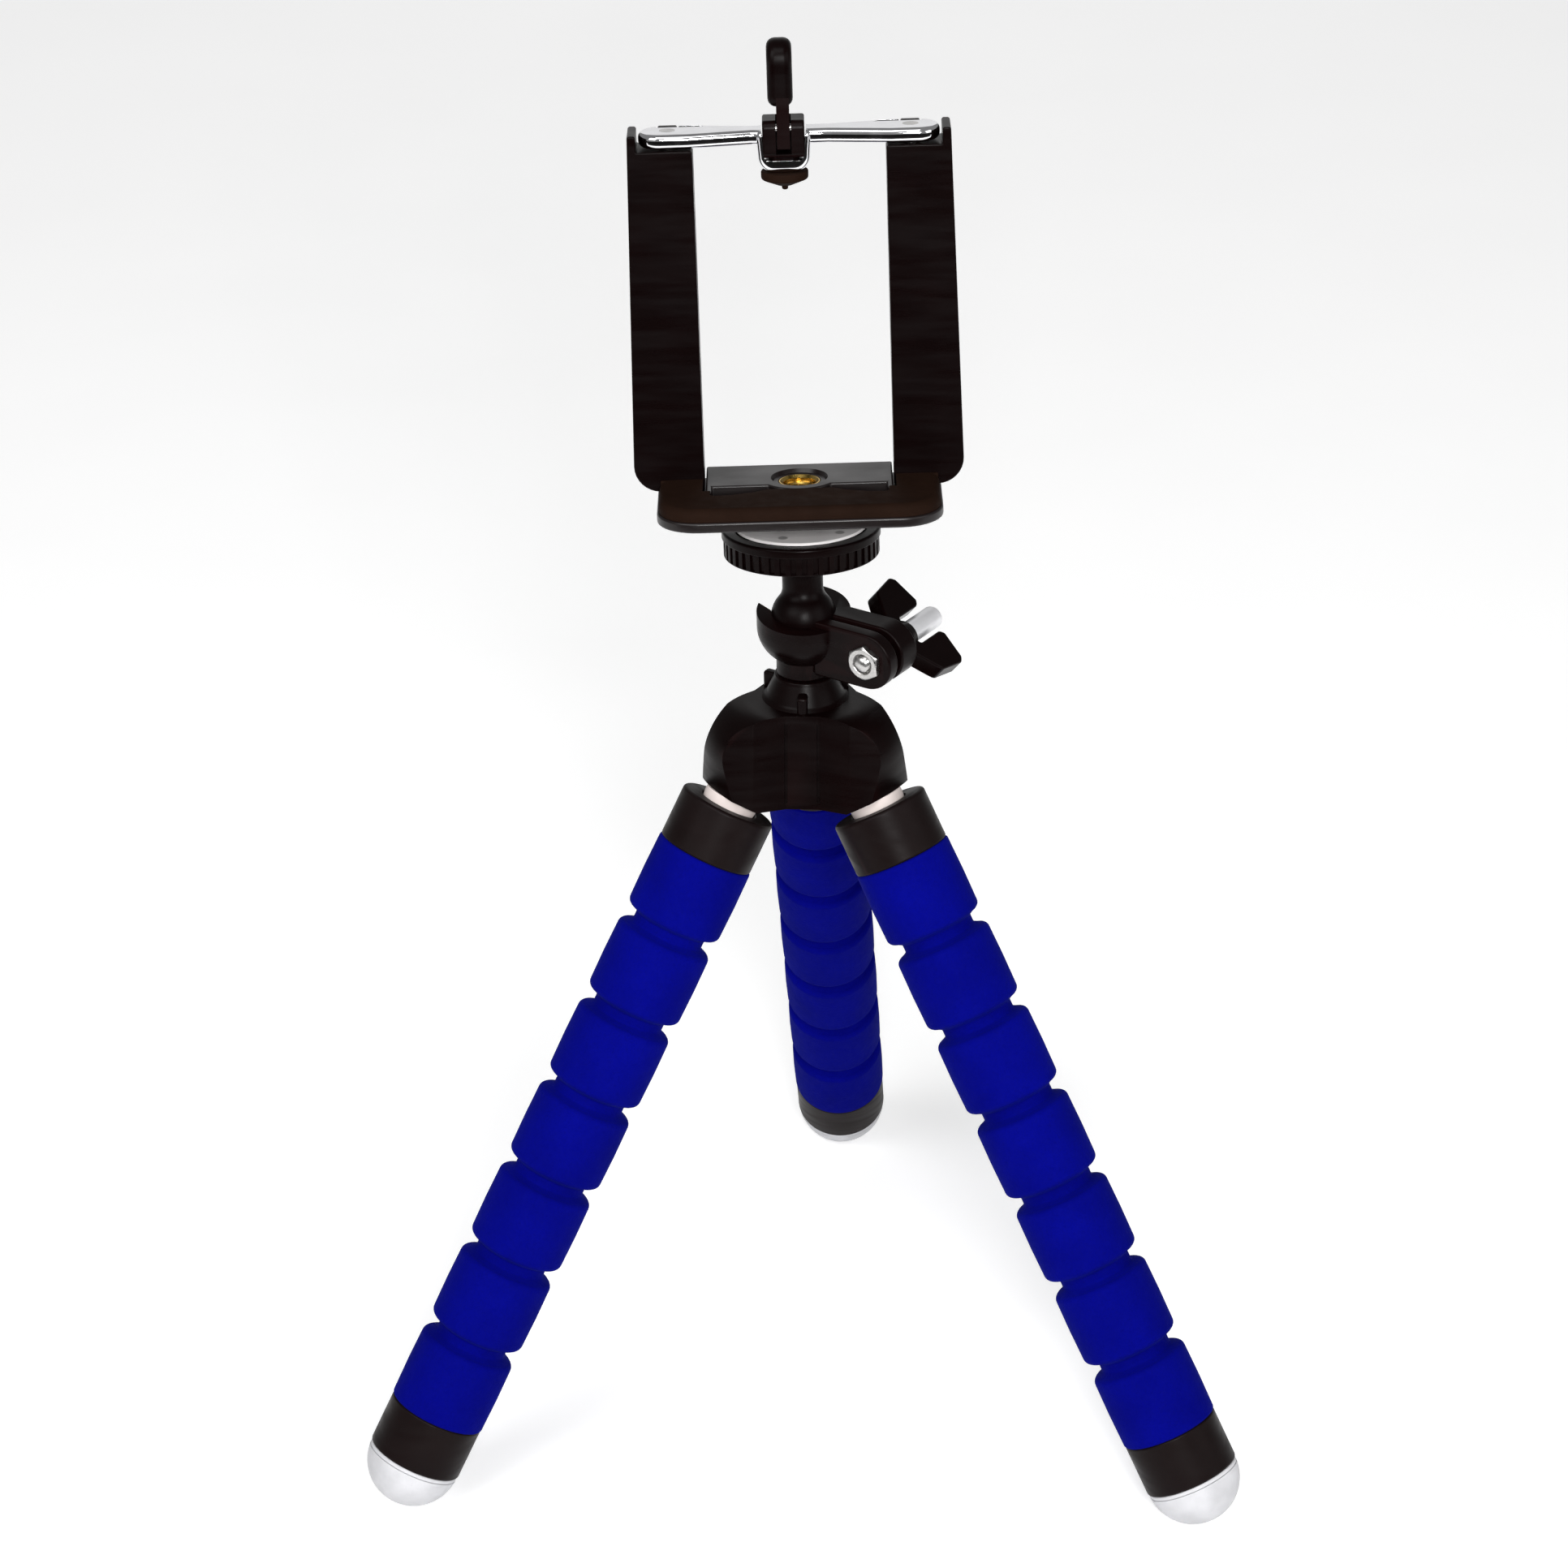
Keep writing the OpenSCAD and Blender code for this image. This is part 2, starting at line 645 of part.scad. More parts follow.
module cup() {
    color(BLACK) at_head() difference() {
        union() {
            difference() {
                rotate_extrude($fn = 96) cup_profile();
                translate([0, 0, cup_rim]) rotate([rim_slant, 0, 0]) span(0, ball_d, ball_d);
            }
            bolt_axis() {
                lug(-nut_face, -split_w / 2);
                lug(split_w / 2, knob_face - face_gap);
            }
        }
        sphere(ball_r + fit_play, $fn = 96);
        rotate([0, 0, clamp_turn]) translate([0, -split_w / 2, -ball_r])
            cube([clamp_reach + lug_r + over, split_w, ball_r + rim_high + over]);
        rotate([0, 0, notch_turn - 90]) {
            rotate([-90, 0, 0]) span(0, cup_r + over, notch_r);
            translate([-notch_r, 0, 0]) cube([2 * notch_r, cup_r + over, rim_high + over]);
        }
        bolt_axis() {
            span(-nut_face - over, knob_face, bolt_d / 2 + fit_play);
            translate([0, 0, -nut_face - over])
                cylinder(h = nut_sink + over, r = nut_flats / 2 / cos(30) + fit_play, $fn = 6);
        }
        span(cup_low - over, screw_end - ball_z, hub_screw_d / 2 + fit_play);
    }
}

module clamp_nut() {
    color(STEEL) at_bolt() difference() {
        translate([0, 0, nut_sink - nut_face - nut_t])
            cylinder(h = nut_t, r = nut_flats / 2 / cos(30), $fn = 6);
        span(-bolt_low - over, 0, bolt_d / 2 + fit_play);
    }
}

module clamp_bolt() {
    color(STEEL) at_bolt() span(-bolt_low, bolt_end, bolt_d / 2);
}

// A wing spreads from the boss, clear of the sleeve
module wing() {
    tip = wing_span / 2;
    low = knob_boss_len - face_gap;
    inner = sleeve_d / 2 + wing_gap;
    edge = wing_t / 4;
    rotate([0, 0, wing_turn]) translate([0, wing_t / 2, wing_low]) rotate([90, 0, 0])
        linear_extrude(wing_t) polygon([
            [bolt_d, 0], [knob_boss_d / 2, 0], [tip - 2.5 * edge, low - edge], [tip - edge, low],
            [tip, wing_w - 2 * edge], [tip - edge, wing_w - edge], [inner + edge, wing_w],
            [inner, wing_w - edge], [inner, low], [bolt_d, low - edge]]);
}

module wing_knob() {
    color(BLACK) at_bolt() difference() {
        union() {
            span(knob_face, knob_face + knob_boss_len, knob_boss_d / 2);
            for (turn = [0, 180]) rotate([0, 0, turn]) wing();
        }
        span(knob_face - over, sleeve_low + over, bolt_d / 2 + fit_play);
        span(sleeve_low, sleeve_end + over, sleeve_d / 2 + fit_play);
    }
}

module knob_sleeve() {
    color(STEEL) at_bolt() difference() {
        span(sleeve_low + fit_play, sleeve_end, sleeve_d / 2);
        span(sleeve_low - over, bolt_end + fit_play, bolt_d / 2 + fit_play);
    }
}

// The hollow curve from the ball up to its stem
module stem_fillet() {
    centre_r = stem_d / 2 + stem_fillet_r;
    centre_z = sqrt(pow(ball_r + stem_fillet_r, 2) - pow(centre_r, 2));
    meet = ball_r / (ball_r + stem_fillet_r);
    rotate_extrude() difference() {
        translate([0, centre_z * meet]) square([centre_r * meet, centre_z - centre_z * meet]);
        translate([centre_r, centre_z]) circle(stem_fillet_r);
    }
}

module ball_stem() {
    color(BLACK) at_clip() difference() {
        union() {
            sphere(ball_r, $fn = 96);
            span(0, stem_top, stem_d / 2);
            stem_fillet();
        }
        span(stem_top - stud_root_len, stem_top + over, stud_root_d / 2 + fit_play);
    }
}

module camera_screw() {
    color(STEEL) at_clip() {
        span(stem_top - stud_root_len + fit_play, stem_top + face_gap, stud_root_d / 2);
        span(stem_top + fit_play, pad_top + stud_out, stud_d / 2);
    }
}

// Platform
module disc() {
    rib_r = disc_d / 2 - flange_step;
    color(BLACK) at_clip() difference() {
        union() {
            translate([0, 0, disc_low]) linear_extrude(disc_t) difference() {
                circle(rib_r, $fn = 96);
                for (i = [1 : disc_ribs]) rotate(360 * i / disc_ribs)
                    translate([rib_r - rib_hollow_depth, -rib_hollow_w / 2]) square([flange_t, rib_hollow_w]);
            }
            span(pad_low - flange_t, pad_low, disc_d / 2);
        }
        span(disc_low - over, pad_low + over, stud_d / 2 + fit_play);
    }
}

module disc_pad() {
    color(PALE) at_clip() difference() {
        span(pad_low, pad_top, disc_pad_d / 2);
        span(pad_low - over, pad_top + over, stud_d / 2 + face_gap);
    }
}

// Clip
module tray_outline(inset) {
    half = tray_w / 2 - inset;
    front = tray_front - inset;
    corner = tray_corner_r - inset;
    translate([-half, corner - front]) square([2 * half, front - corner + tray_back - inset]);
    translate([corner - half, -front]) square([2 * half - 2 * corner, corner]);
    for (x = [corner - half, half - corner]) translate([x, corner - front]) circle(corner);
}

module at_arm_screws() {
    for (side = [-1, 1], x = screw_x) translate([side * x, arm_mid, 0]) children();
}

module tray() {
    color(BLACK) at_clip() difference() {
        union() {
            translate([0, 0, tray_low]) linear_extrude(tray_floor_t) tray_outline(0);
            translate([face_gap - arm_in, -plate_front, floor_top - over])
                cube([arm_gap - 2 * face_gap, plate_front + tray_back, plate_h + over]);
            span(floor_top - over, plate_top, plate_round_r);
            span(boss_low, tray_low + over, boss_r);
        }
        span(boss_low - over, plate_top, insert_d / 2 + fit_play);
        span(insert_top, plate_top + over, recess_d / 2);
        at_arm_screws() {
            span(tray_low - over, floor_top + over, arm_screw_d / 2 + fit_play);
            span(tray_low - over, tray_low + arm_screw_head_h, arm_screw_head_d / 2 + fit_play);
        }
    }
}

module tray_pad() {
    color(RUBBER) at_clip() translate([0, 0, floor_top]) linear_extrude(pad_t) difference() {
        tray_outline(pad_inset);
        translate([-tray_w, -face_gap]) square([2 * tray_w, 2 * tray_back]);
        translate([-arm_in - face_gap, -pad_back]) square([arm_gap + 2 * face_gap, 2 * tray_front]);
        circle(plate_round_r + face_gap);
    }
}

module thread_insert() {
    color(BRASS) at_clip() difference() {
        span(boss_low, insert_top, insert_d / 2);
        span(boss_low - over, insert_top + over, stud_d / 2 + fit_play);
    }
}

module arm_screws() {
    head_h = arm_screw_head_h - fit_play;
    end = floor_top + arm_screw_len;
    color(STEEL) at_clip() at_arm_screws()
        pan_head(tray_low, arm_screw_head_d / 2, head_h, arm_screw_d / 2, end);
}

module arm_profile() {
    low_x = arm_in + arm_low_w;
    top_x = arm_in + arm_top_w;
    lip_x = top_x - arm_lip;
    bend_z = floor_top + arm_corner_r;
    polygon([
        [arm_in, floor_top], [low_x - arm_corner_r, floor_top], [low_x, bend_z],
        [top_x, bar_top], [lip_x, bar_top], [lip_x, arm_top], [arm_in, arm_top]]);
    translate([low_x - arm_corner_r, bend_z]) circle(arm_corner_r);
}

// The tab at the back stands in the bracket's rear notch
module arm() {
    difference() {
        union() {
            translate([0, arm_depth, 0]) rotate([90, 0, 0]) linear_extrude(arm_depth) arm_profile();
            translate([tab_low_x, arm_depth - tab_t, arm_top - over])
                cube([tab_w, tab_t, bar_top - arm_top + over]);
        }
        translate([rod_x, arm_mid, 0]) {
            span(channel_low, channel_high, channel_d / 2);
            span(channel_low, arm_top + over, rod_d / 2 + fit_play);
        }
        for (x = screw_x) translate([x, arm_mid, 0])
            span(floor_top - over, floor_top + arm_screw_len + fit_play, arm_screw_d / 2 + fit_play);
    }
}

module left_arm() { color(BLACK) at_clip() mirror([1, 0, 0]) arm(); }
module right_arm() { color(BLACK) at_clip() arm(); }

module spring() {
    body = [for (i = [0 : spring_rings - 1], k = [0 : SIDES - 1])
        let (a = i * SIDES + k, b = i * SIDES + (k + 1) % SIDES)
        each [[a, a + SIDES, b], [b, a + SIDES, b + SIDES]]];
    last = spring_rings * SIDES;
    ends = [for (k = [1 : SIDES - 2]) each [[0, k, k + 1], [last, last + k + 1, last + k]]];
    polyhedron([for (i = [0 : spring_rings], k = [0 : SIDES - 1]) spring_point(i, k)], concat(body, ends));
}

module return_springs() {
    color(STEEL) at_clip() both_sides() translate([rod_x, arm_mid, 0]) spring();
}

// Bracket
module half_bar() {
    half = waist_depth / 2;
    flare = arm_in + arm_lip / 2;
    waist_end = yoke_w / 2 + waist_len;
    difference() {
        union() {
            polygon([
                [yoke_w / 4, arm_mid - half], [waist_end, arm_mid - half],
                [flare, 0], [bar_end - bar_corner_r, 0], [bar_end, bar_corner_r],
                [bar_end, arm_depth - bar_corner_r], [bar_end - bar_corner_r, arm_depth],
                [flare, arm_depth], [waist_end, arm_mid + half], [yoke_w / 4, arm_mid + half]]);
            for (y = [bar_corner_r, arm_depth - bar_corner_r])
                translate([bar_end - bar_corner_r, y]) circle(bar_corner_r);
        }
        translate([rod_x, arm_mid]) circle(rod_d / 2 + fit_play);
        translate([tab_low_x - face_gap, arm_depth - tab_t - face_gap])
            square([tab_w + 2 * face_gap, tab_t + face_gap + over]);
    }
}

// An upright trough with round lower corners, open at the top
module trough(w, low, corner, depth) {
    translate([yoke_shift, arm_mid + depth / 2, low]) rotate([90, 0, 0]) linear_extrude(depth) {
        translate([-w / 2, corner]) square([w, bar_top - low - corner]);
        translate([corner - w / 2, 0]) square([w - 2 * corner, corner]);
        for (x = [corner - w / 2, w / 2 - corner]) translate([x, corner]) circle(corner);
    }
}

module top_bracket() {
    color(STEEL) at_clip() difference() {
        union() {
            both_sides() translate([0, 0, bar_low]) linear_extrude(bar_t) half_bar();
            trough(yoke_w, yoke_low, yoke_corner_r, yoke_depth);
        }
        translate([0, 0, over])
            trough(yoke_w - 2 * yoke_t, yoke_low + yoke_floor_t - over, yoke_inner_r, 2 * arm_depth);
        translate([yoke_shift, arm_mid, yoke_low]) span(-over, yoke_floor_t + over, plug_r + fit_play);
    }
}

module slide_rods() {
    color(STEEL) at_clip() both_sides() translate([rod_x, arm_mid, 0]) {
        span(rod_low, bar_top, rod_d / 2);
        span(rod_low, rod_low + rod_foot_t, rod_foot_r);
    }
}

// A cylinder on the pin's axis, across the yoke
module at_pin(length, r) {
    translate([-length / 2, pin_y, pin_z]) rotate([0, 90, 0]) cylinder(h = length, r = r);
}

module clevis_block() {
    color(BLACK) at_yoke() difference() {
        union() {
            translate([-block_w / 2, block_front, block_low])
                cube([block_w, block_size, block_size - pin_inset]);
            translate([-block_w / 2, pin_y, block_low])
                cube([block_w, block_size - pin_inset, block_size]);
            at_pin(block_w, pin_inset);
            translate([0, arm_mid, 0]) span(yoke_low + yoke_floor_t, block_low + over, neck_of_block_r);
        }
        translate([-slot_w / 2, block_front - over, block_top - slot_h])
            cube([slot_w, slot_depth + over, slot_h + over]);
        at_pin(2 * block_w, pin_d / 2 + fit_play);
        translate([0, arm_mid, 0]) span(yoke_low, block_low + plug_grip, plug_r + fit_play);
    }
}

module pivot_pin() {
    color(STEEL) at_yoke() at_pin(block_w, pin_d / 2);
}

module finger() {
    stem_r = pin_inset - fit_play;
    round_r = finger_depth / 2;
    front = pin_y - stem_r;
    paddle_x = finger_shift - finger_t / 2;
    round_z = finger_low + finger_h - round_r;
    color(BLACK) at_yoke() difference() {
        union() {
            at_pin(finger_stem_t, stem_r);
            translate([-finger_stem_t / 2, front, pin_z])
                cube([finger_stem_t, 2 * stem_r, finger_low - pin_z + over]);
            translate([-finger_stem_t / 2, front, pin_z - tail_len]) cube([finger_stem_t, tail_t, tail_len]);
            translate([paddle_x, front, finger_low]) cube([finger_t, finger_depth, round_z - finger_low]);
            translate([paddle_x, front + round_r, round_z]) rotate([0, 90, 0])
                cylinder(h = finger_t, r = round_r);
        }
        at_pin(2 * finger_t, pin_d / 2 + fit_play);
    }
}

module bumper() {
    dome_h = bumper_h - bumper_rim_h;
    dome_r = (pow(bumper_d / 2, 2) + pow(dome_h, 2)) / (2 * dome_h);
    color(RUBBER) at_yoke() translate([0, arm_mid, yoke_low]) {
        intersection() {
            translate([0, 0, dome_r - bumper_h]) sphere(dome_r);
            span(-bumper_h, 0, bumper_d / 2);
        }
        span(-bumper_h - nub_h, nub_h - bumper_h, nub_h);
        span(-over, yoke_floor_t + block_lift + plug_grip - fit_play, plug_r);
    }
}

tray();
tray_pad();
thread_insert();
left_arm();
right_arm();
arm_screws();
return_springs();
top_bracket();
slide_rods();
clevis_block();
pivot_pin();
bumper();
finger();
disc();
disc_pad();
ball_stem();
camera_screw();
cup();
clamp_nut();
clamp_bolt();
wing_knob();
knob_sleeve();
hub();
hub_screw();
leg_collars();
for (k = [0 : 2]) {
    top_cap(k);
    bottom_cap(k);
    foot(k);
    leg_wire(k);
    for (i = [1 : SEGMENTS])
        foam_segment(k, i);
}
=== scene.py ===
"""Looks of a small tripod with bendable foam legs, a clamped ball head and a spring phone clip."""

import json
import math

import bmesh
import bpy
from bpy.props import FloatProperty, FloatVectorProperty, PointerProperty
from mathutils import Matrix, Vector


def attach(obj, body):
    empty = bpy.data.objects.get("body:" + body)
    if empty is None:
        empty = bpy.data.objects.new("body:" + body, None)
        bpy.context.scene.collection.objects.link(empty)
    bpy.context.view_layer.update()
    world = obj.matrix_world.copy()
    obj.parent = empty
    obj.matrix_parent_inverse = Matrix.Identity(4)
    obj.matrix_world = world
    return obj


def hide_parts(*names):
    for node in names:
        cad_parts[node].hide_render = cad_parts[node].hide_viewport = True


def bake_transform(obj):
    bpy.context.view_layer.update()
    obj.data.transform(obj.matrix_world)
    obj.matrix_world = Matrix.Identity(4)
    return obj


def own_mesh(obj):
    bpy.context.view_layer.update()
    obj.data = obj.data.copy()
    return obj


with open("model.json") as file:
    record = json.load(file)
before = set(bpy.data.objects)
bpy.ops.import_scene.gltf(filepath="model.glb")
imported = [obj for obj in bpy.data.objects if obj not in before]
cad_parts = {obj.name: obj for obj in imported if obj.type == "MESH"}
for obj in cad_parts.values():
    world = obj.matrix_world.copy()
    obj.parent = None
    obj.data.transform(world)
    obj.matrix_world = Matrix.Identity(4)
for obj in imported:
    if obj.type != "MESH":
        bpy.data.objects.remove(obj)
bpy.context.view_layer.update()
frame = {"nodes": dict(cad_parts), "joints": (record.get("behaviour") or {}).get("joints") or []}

bl_info = {
    "name": "Foam Leg Tripod",
    "version": (1, 0, 0),
    "blender": (4, 5, 0),
    "location": "View3D > Sidebar > Tripod",
    "description": "Models a small tripod with bendable foam legs and a phone clip",
    "category": "Object",
}

MM = 0.001
LEGS = ("left", "right", "rear")
SEGMENTS = 7
WELD = 2e-6
BALL_HEIGHT = 35.5  # millimetres from the leg tops up to the ball's centre
NECK_RISE = 0.9  # millimetres from the top of a leg's cap up to its pivot
JOINTS = {joint["name"]: joint for joint in frame["joints"]}


def length(name, description, millimetres):
    """A property for a length, with its default in millimetres."""
    return FloatProperty(
        name=name, description=description, default=millimetres * MM, unit="LENGTH", precision=5)


def tint(name, description, red, green, blue):
    """A property for a linear colour."""
    return FloatVectorProperty(
        name=name, description=description, default=(red, green, blue), subtype="COLOR", min=0, max=1)


def power(name, description, watts):
    """A property for the power of a lamp."""
    return FloatProperty(name=name, description=description, default=watts, unit="POWER")


class TripodLegSizes(bpy.types.PropertyGroup):
    """Sizes of the legs, from the top of a top cap down"""

    foam_r: length("Foam radius", "Radius of the foam sleeve", 9.55)
    segment: length("Segment", "Length of one foam segment", 15)
    groove: length("Groove", "Width of the groove between two segments", 3.2)
    groove_r: length("Groove radius", "Radius at the bottom of a groove", 7.2)
    edge_r: length("Foam edge", "Radius of a segment's soft edges", 1.25)
    cap_r: length("Cap radius", "Radius of the caps on both ends of a leg", 9.4)
    cap_len: length("Cap length", "Length of a cap", 10.6)
    seat_r: length("Seat radius", "Radius of the foam's seat in a cap", 8.1)
    seat: length("Seat depth", "Depth of the foam's seat in a cap", 4)
    foot_r: length("Foot radius", "Radius of the rubber foot", 9.2)
    foot_h: length("Foot height", "Height of the rubber foot", 9.6)


class TripodHeadSizes(bpy.types.PropertyGroup):
    """Sizes of the hub, the clamp and the platform"""

    ball_z: length("Ball height", "Height of the ball's centre above the leg tops", BALL_HEIGHT)
    ball_r: length("Ball radius", "Radius of the ball", 6.3)
    stem_r: length("Stem radius", "Radius of the ball's stem", 3.9)
    stem_top: length("Stem top", "Height of the stem's top above the ball's centre", 12.7)
    hub_r: length("Hub radius", "Radius of the hub at its lobes", 20.3)
    hub_top: length("Hub top", "Height of the dome above the leg tops", 19)
    hub_low: length("Hub underside", "Height of the hub's underside above the leg tops", 1.2)
    hub_round: length("Hub shoulder", "Radius of the dome's shoulder", 9)
    cup_r: length("Cup radius", "Radius of the cup", 9)
    cup_rim: length("Cup rim", "Height of the cup's rim above the ball's centre, at its sides", 1.5)
    notch_turn: FloatProperty(
        name="Notch", description="Direction of the cup's notch", default=math.radians(131),
        subtype="ANGLE")
    disc_r: length("Disc radius", "Radius of the ribbed disc", 15.1)
    disc_t: length("Disc thickness", "Thickness of the ribbed disc", 5.4)
    gap: length("Gap", "Gap between faces that pass each other", 0.3)


class TripodClipSizes(bpy.types.PropertyGroup):
    """Sizes of the phone clip, along its axis from the ball's centre"""

    tray_low: length("Tray height", "Height of the tray's underside", 23.8)
    floor_top: length("Floor height", "Height of the tray's floor", 25.8)
    plate_top: length("Plate height", "Height of the raised plate", 28)
    half_w: length("Tray half width", "Half of the tray's width", 26.75)
    front: length("Tray front", "Reach of the tray in front of the screw", 20)
    back: length("Tray back", "Reach of the tray behind the screw", 8.4)
    arm_in: length("Arm inside", "Distance of an arm's inner face from the middle", 17.9)
    arm_top: length("Arm top", "Height of an arm under the bracket", 91.3)
    arm_depth: length("Arm depth", "Depth of an arm from front to back", 8.4)
    bar_low: length("Bracket height", "Height of the bracket's underside", 91.6)
    bar_t: length("Bracket thickness", "Thickness of the bracket", 2.8)
    rod_x: length("Rod distance", "Distance of a slide rod from the middle", 22.5)
    travel: length("Travel", "Travel of the bracket", 30)


class TripodFinishes(bpy.types.PropertyGroup):
    """Colours of the finishes"""

    foam: tint("Foam", "Colour of the foam sleeves", 0.0006, 0.0014, 0.165)
    black: tint("Black plastic", "Colour of the moulded head, arms and knob", 0.0028, 0.0009, 0.0009)
    cap: tint("Cap plastic", "Colour of the leg caps", 0.0058, 0.0030, 0.0030)
    tray: tint("Tray plastic", "Colour of the tray", 0.0045, 0.0020, 0.0020)
    pad: tint("Brown rubber", "Colour of the tray's pad", 0.0125, 0.0060, 0.0038)
    foot: tint("White rubber", "Colour of the feet", 0.56, 0.56, 0.58)
    pale: tint("Pale plastic", "Colour of the collars on the legs", 0.68, 0.60, 0.57)
    disc: tint("Disc pad", "Colour of the disc's pad", 0.88, 0.85, 0.84)
    chrome: tint("Chrome", "Colour of the bright bracket", 0.80, 0.80, 0.82)
    steel: tint("Steel", "Colour of the screws and rods", 0.52, 0.51, 0.50)
    brass: tint("Brass", "Colour of the thread insert", 0.60, 0.40, 0.10)


class TripodStage(bpy.types.PropertyGroup):
    """Light and camera"""

    lens: FloatProperty(
        name="Lens", description="Focal length of the camera", default=115.78, unit="CAMERA")
    key: power("Key", "Power of the key light", 8)
    fill: power("Fill", "Power of the lights from the right and above", 2.5)
    front: power("Front", "Power of the light beside the camera", 11)
    back: power("Back", "Power of the light behind", 1.6)
    room: FloatProperty(name="Room", description="Strength of the light all round", default=0.22)
    floor: tint("Floor", "Colour of the floor", 0.90, 0.90, 0.90)
    glow: FloatProperty(
        name="Glow", description="White that the camera and reflections see in the floor", default=0.34)


# Places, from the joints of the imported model

def axes_at(origin, x, z):
    """A frame at origin, with its X and Z directions."""
    place = Matrix((x, z.cross(x), z)).transposed().to_4x4()
    place.translation = origin
    return place


def spot(joint):
    return Vector(JOINTS[joint]["pos_m"])


def direction(joint):
    return Vector(JOINTS[joint]["axis"]).normalized()


def hub_place():
    """The hub's frame: the middle of the leg tops."""
    return Matrix.Translation(spot("head_pan") - Vector((0, 0, BALL_HEIGHT * MM)))


def head_place():
    """The head's frame: the ball's centre, upright."""
    return Matrix.Translation(spot("head_pan"))


def clip_place():
    """The clip's leaning frame, from the ball's centre."""
    return axes_at(spot("head_pan"), direction("finger_flip"), direction("clip_turn"))


def bolt_place():
    """The clamp bolt's frame: X points out from the ball, Z along the bolt to the knob."""
    z = direction("knob_turn")
    return axes_at(spot("knob_turn"), Vector((z.y, -z.x, 0)), z)


def leg_place(leg):
    """A leg's frame: Z runs down the leg from the top of its cap."""
    top = spot(f"{leg}_neck")
    z = (spot(f"{leg}_bend_6") - top).normalized()
    return axes_at(top + z * NECK_RISE * MM, direction(f"{leg}_neck"), z)


# Modelling

def deselect():
    if bpy.context.mode != "OBJECT":
        bpy.ops.object.mode_set(mode="OBJECT")
    bpy.ops.object.select_all(action="DESELECT")


def pick(piece):
    deselect()
    piece.select_set(True)
    bpy.context.view_layer.objects.active = piece


def edit(piece, action="SELECT"):
    """Opens a piece's mesh, with all or nothing of it selected."""
    pick(piece)
    bpy.ops.object.mode_set(mode="EDIT")
    bpy.ops.mesh.select_all(action=action)


def rounded(corners, closed=True, steps=5):
    """Points of an outline whose corners (x, y, radius) are turned into arcs."""
    points = []
    for i, (x, y, radius) in enumerate(corners):
        here = Vector((x, y))
        if radius == 0 or (not closed and i in (0, len(corners) - 1)):
            points.append(here)
            continue
        back = (Vector(corners[i - 1][:2]) - here).normalized()
        ahead = (Vector(corners[(i + 1) % len(corners)][:2]) - here).normalized()
        half = back.angle(ahead) / 2
        centre = here + (back + ahead).normalized() * (radius / math.sin(half))
        start = here + back * (radius / math.tan(half)) - centre
        end = here + ahead * (radius / math.tan(half)) - centre
        first = math.atan2(start.y, start.x)
        sweep = (math.atan2(end.y, end.x) - first + math.pi) % (2 * math.pi) - math.pi
        for k in range(steps + 1):
            a = first + sweep * k / steps
            points.append(centre + Vector((math.cos(a), math.sin(a))) * radius)
    return points


def arc(centre, radius, first, last, steps):
    """Points of an arc, with its angles in degrees."""
    angles = [math.radians(first + (last - first) * k / steps) for k in range(steps + 1)]
    return [Vector((centre[0] + radius * math.cos(a), centre[1] + radius * math.sin(a))) for a in angles]


def named(name):
    """The piece that was just added, under its name."""
    piece = bpy.context.object
    piece.name = piece.data.name = name
    return piece


def draw(name, points):
    """A line of edges through points, extruded from one vertex. It stays in edit mode."""
    deselect()
    bpy.ops.mesh.primitive_plane_add(size=MM)
    line = named(name)
    edit(line)
    bpy.ops.mesh.merge(type="CENTER")
    bpy.ops.transform.translate(value=points[0])
    for here, ahead in zip(points, points[1:]):
        bpy.ops.mesh.extrude_region_move(TRANSFORM_OT_translate={"value": ahead - here})
    bpy.ops.mesh.select_all(action="SELECT")
    return line


def close_up():
    """Welds the mesh in edit mode, turns its faces outwards and leaves edit mode."""
    bpy.ops.mesh.select_all(action="SELECT")
    bpy.ops.mesh.remove_doubles(threshold=WELD)
    bpy.ops.mesh.normals_make_consistent(inside=False)
    bpy.ops.object.mode_set(mode="OBJECT")


def turned(name, profile, steps):
    """A turned solid: the profile of radii and heights, spun about Z."""
    piece = draw(name, [Vector((p[0], 0, p[1])) for p in profile])
    bpy.ops.mesh.spin(steps=steps, angle=2 * math.pi, center=(0, 0, 0), axis=(0, 0, 1))
    close_up()
    return piece


def lathe(name, corners, steps=72):
    """A turned solid from corners of radius, height and rounding."""
    return turned(name, rounded(corners, closed=False), steps)


def prism(name, outline, low, high):
    """An outline in X and Y, extruded from low to high."""
    piece = draw(name, [Vector((p[0], p[1], low)) for p in outline])
    bpy.ops.mesh.edge_face_add()
    bpy.ops.mesh.extrude_region_move(TRANSFORM_OT_translate={"value": (0, 0, high - low)})
    close_up()
    return piece


def upright(piece, y):
    """Stands an outline drawn in X and Y up into X and Z, with its rear face at y."""
    return settle(piece, Matrix.Translation((0, y, 0)) @ Matrix.Rotation(math.pi / 2, 4, "X"))


def rod(name, radius, low, high, sides=48):
    deselect()
    bpy.ops.mesh.primitive_cylinder_add(
        vertices=sides, radius=radius, depth=high - low, location=(0, 0, (low + high) / 2))
    bpy.ops.object.transform_apply()
    return named(name)


def block(name, low, high):
    low, high = Vector(low), Vector(high)
    deselect()
    bpy.ops.mesh.primitive_cube_add(size=1, location=(low + high) / 2, scale=high - low)
    bpy.ops.object.transform_apply()
    return named(name)


def globe(name, radius):
    deselect()
    bpy.ops.mesh.primitive_uv_sphere_add(segments=64, ring_count=32, radius=radius)
    return named(name)


def settle(piece, place):
    """Puts a piece in its place and keeps the place in its mesh."""
    pick(piece)
    piece.matrix_world = place @ piece.matrix_world
    bpy.ops.object.transform_apply(location=True, rotation=True, scale=True)
    return piece


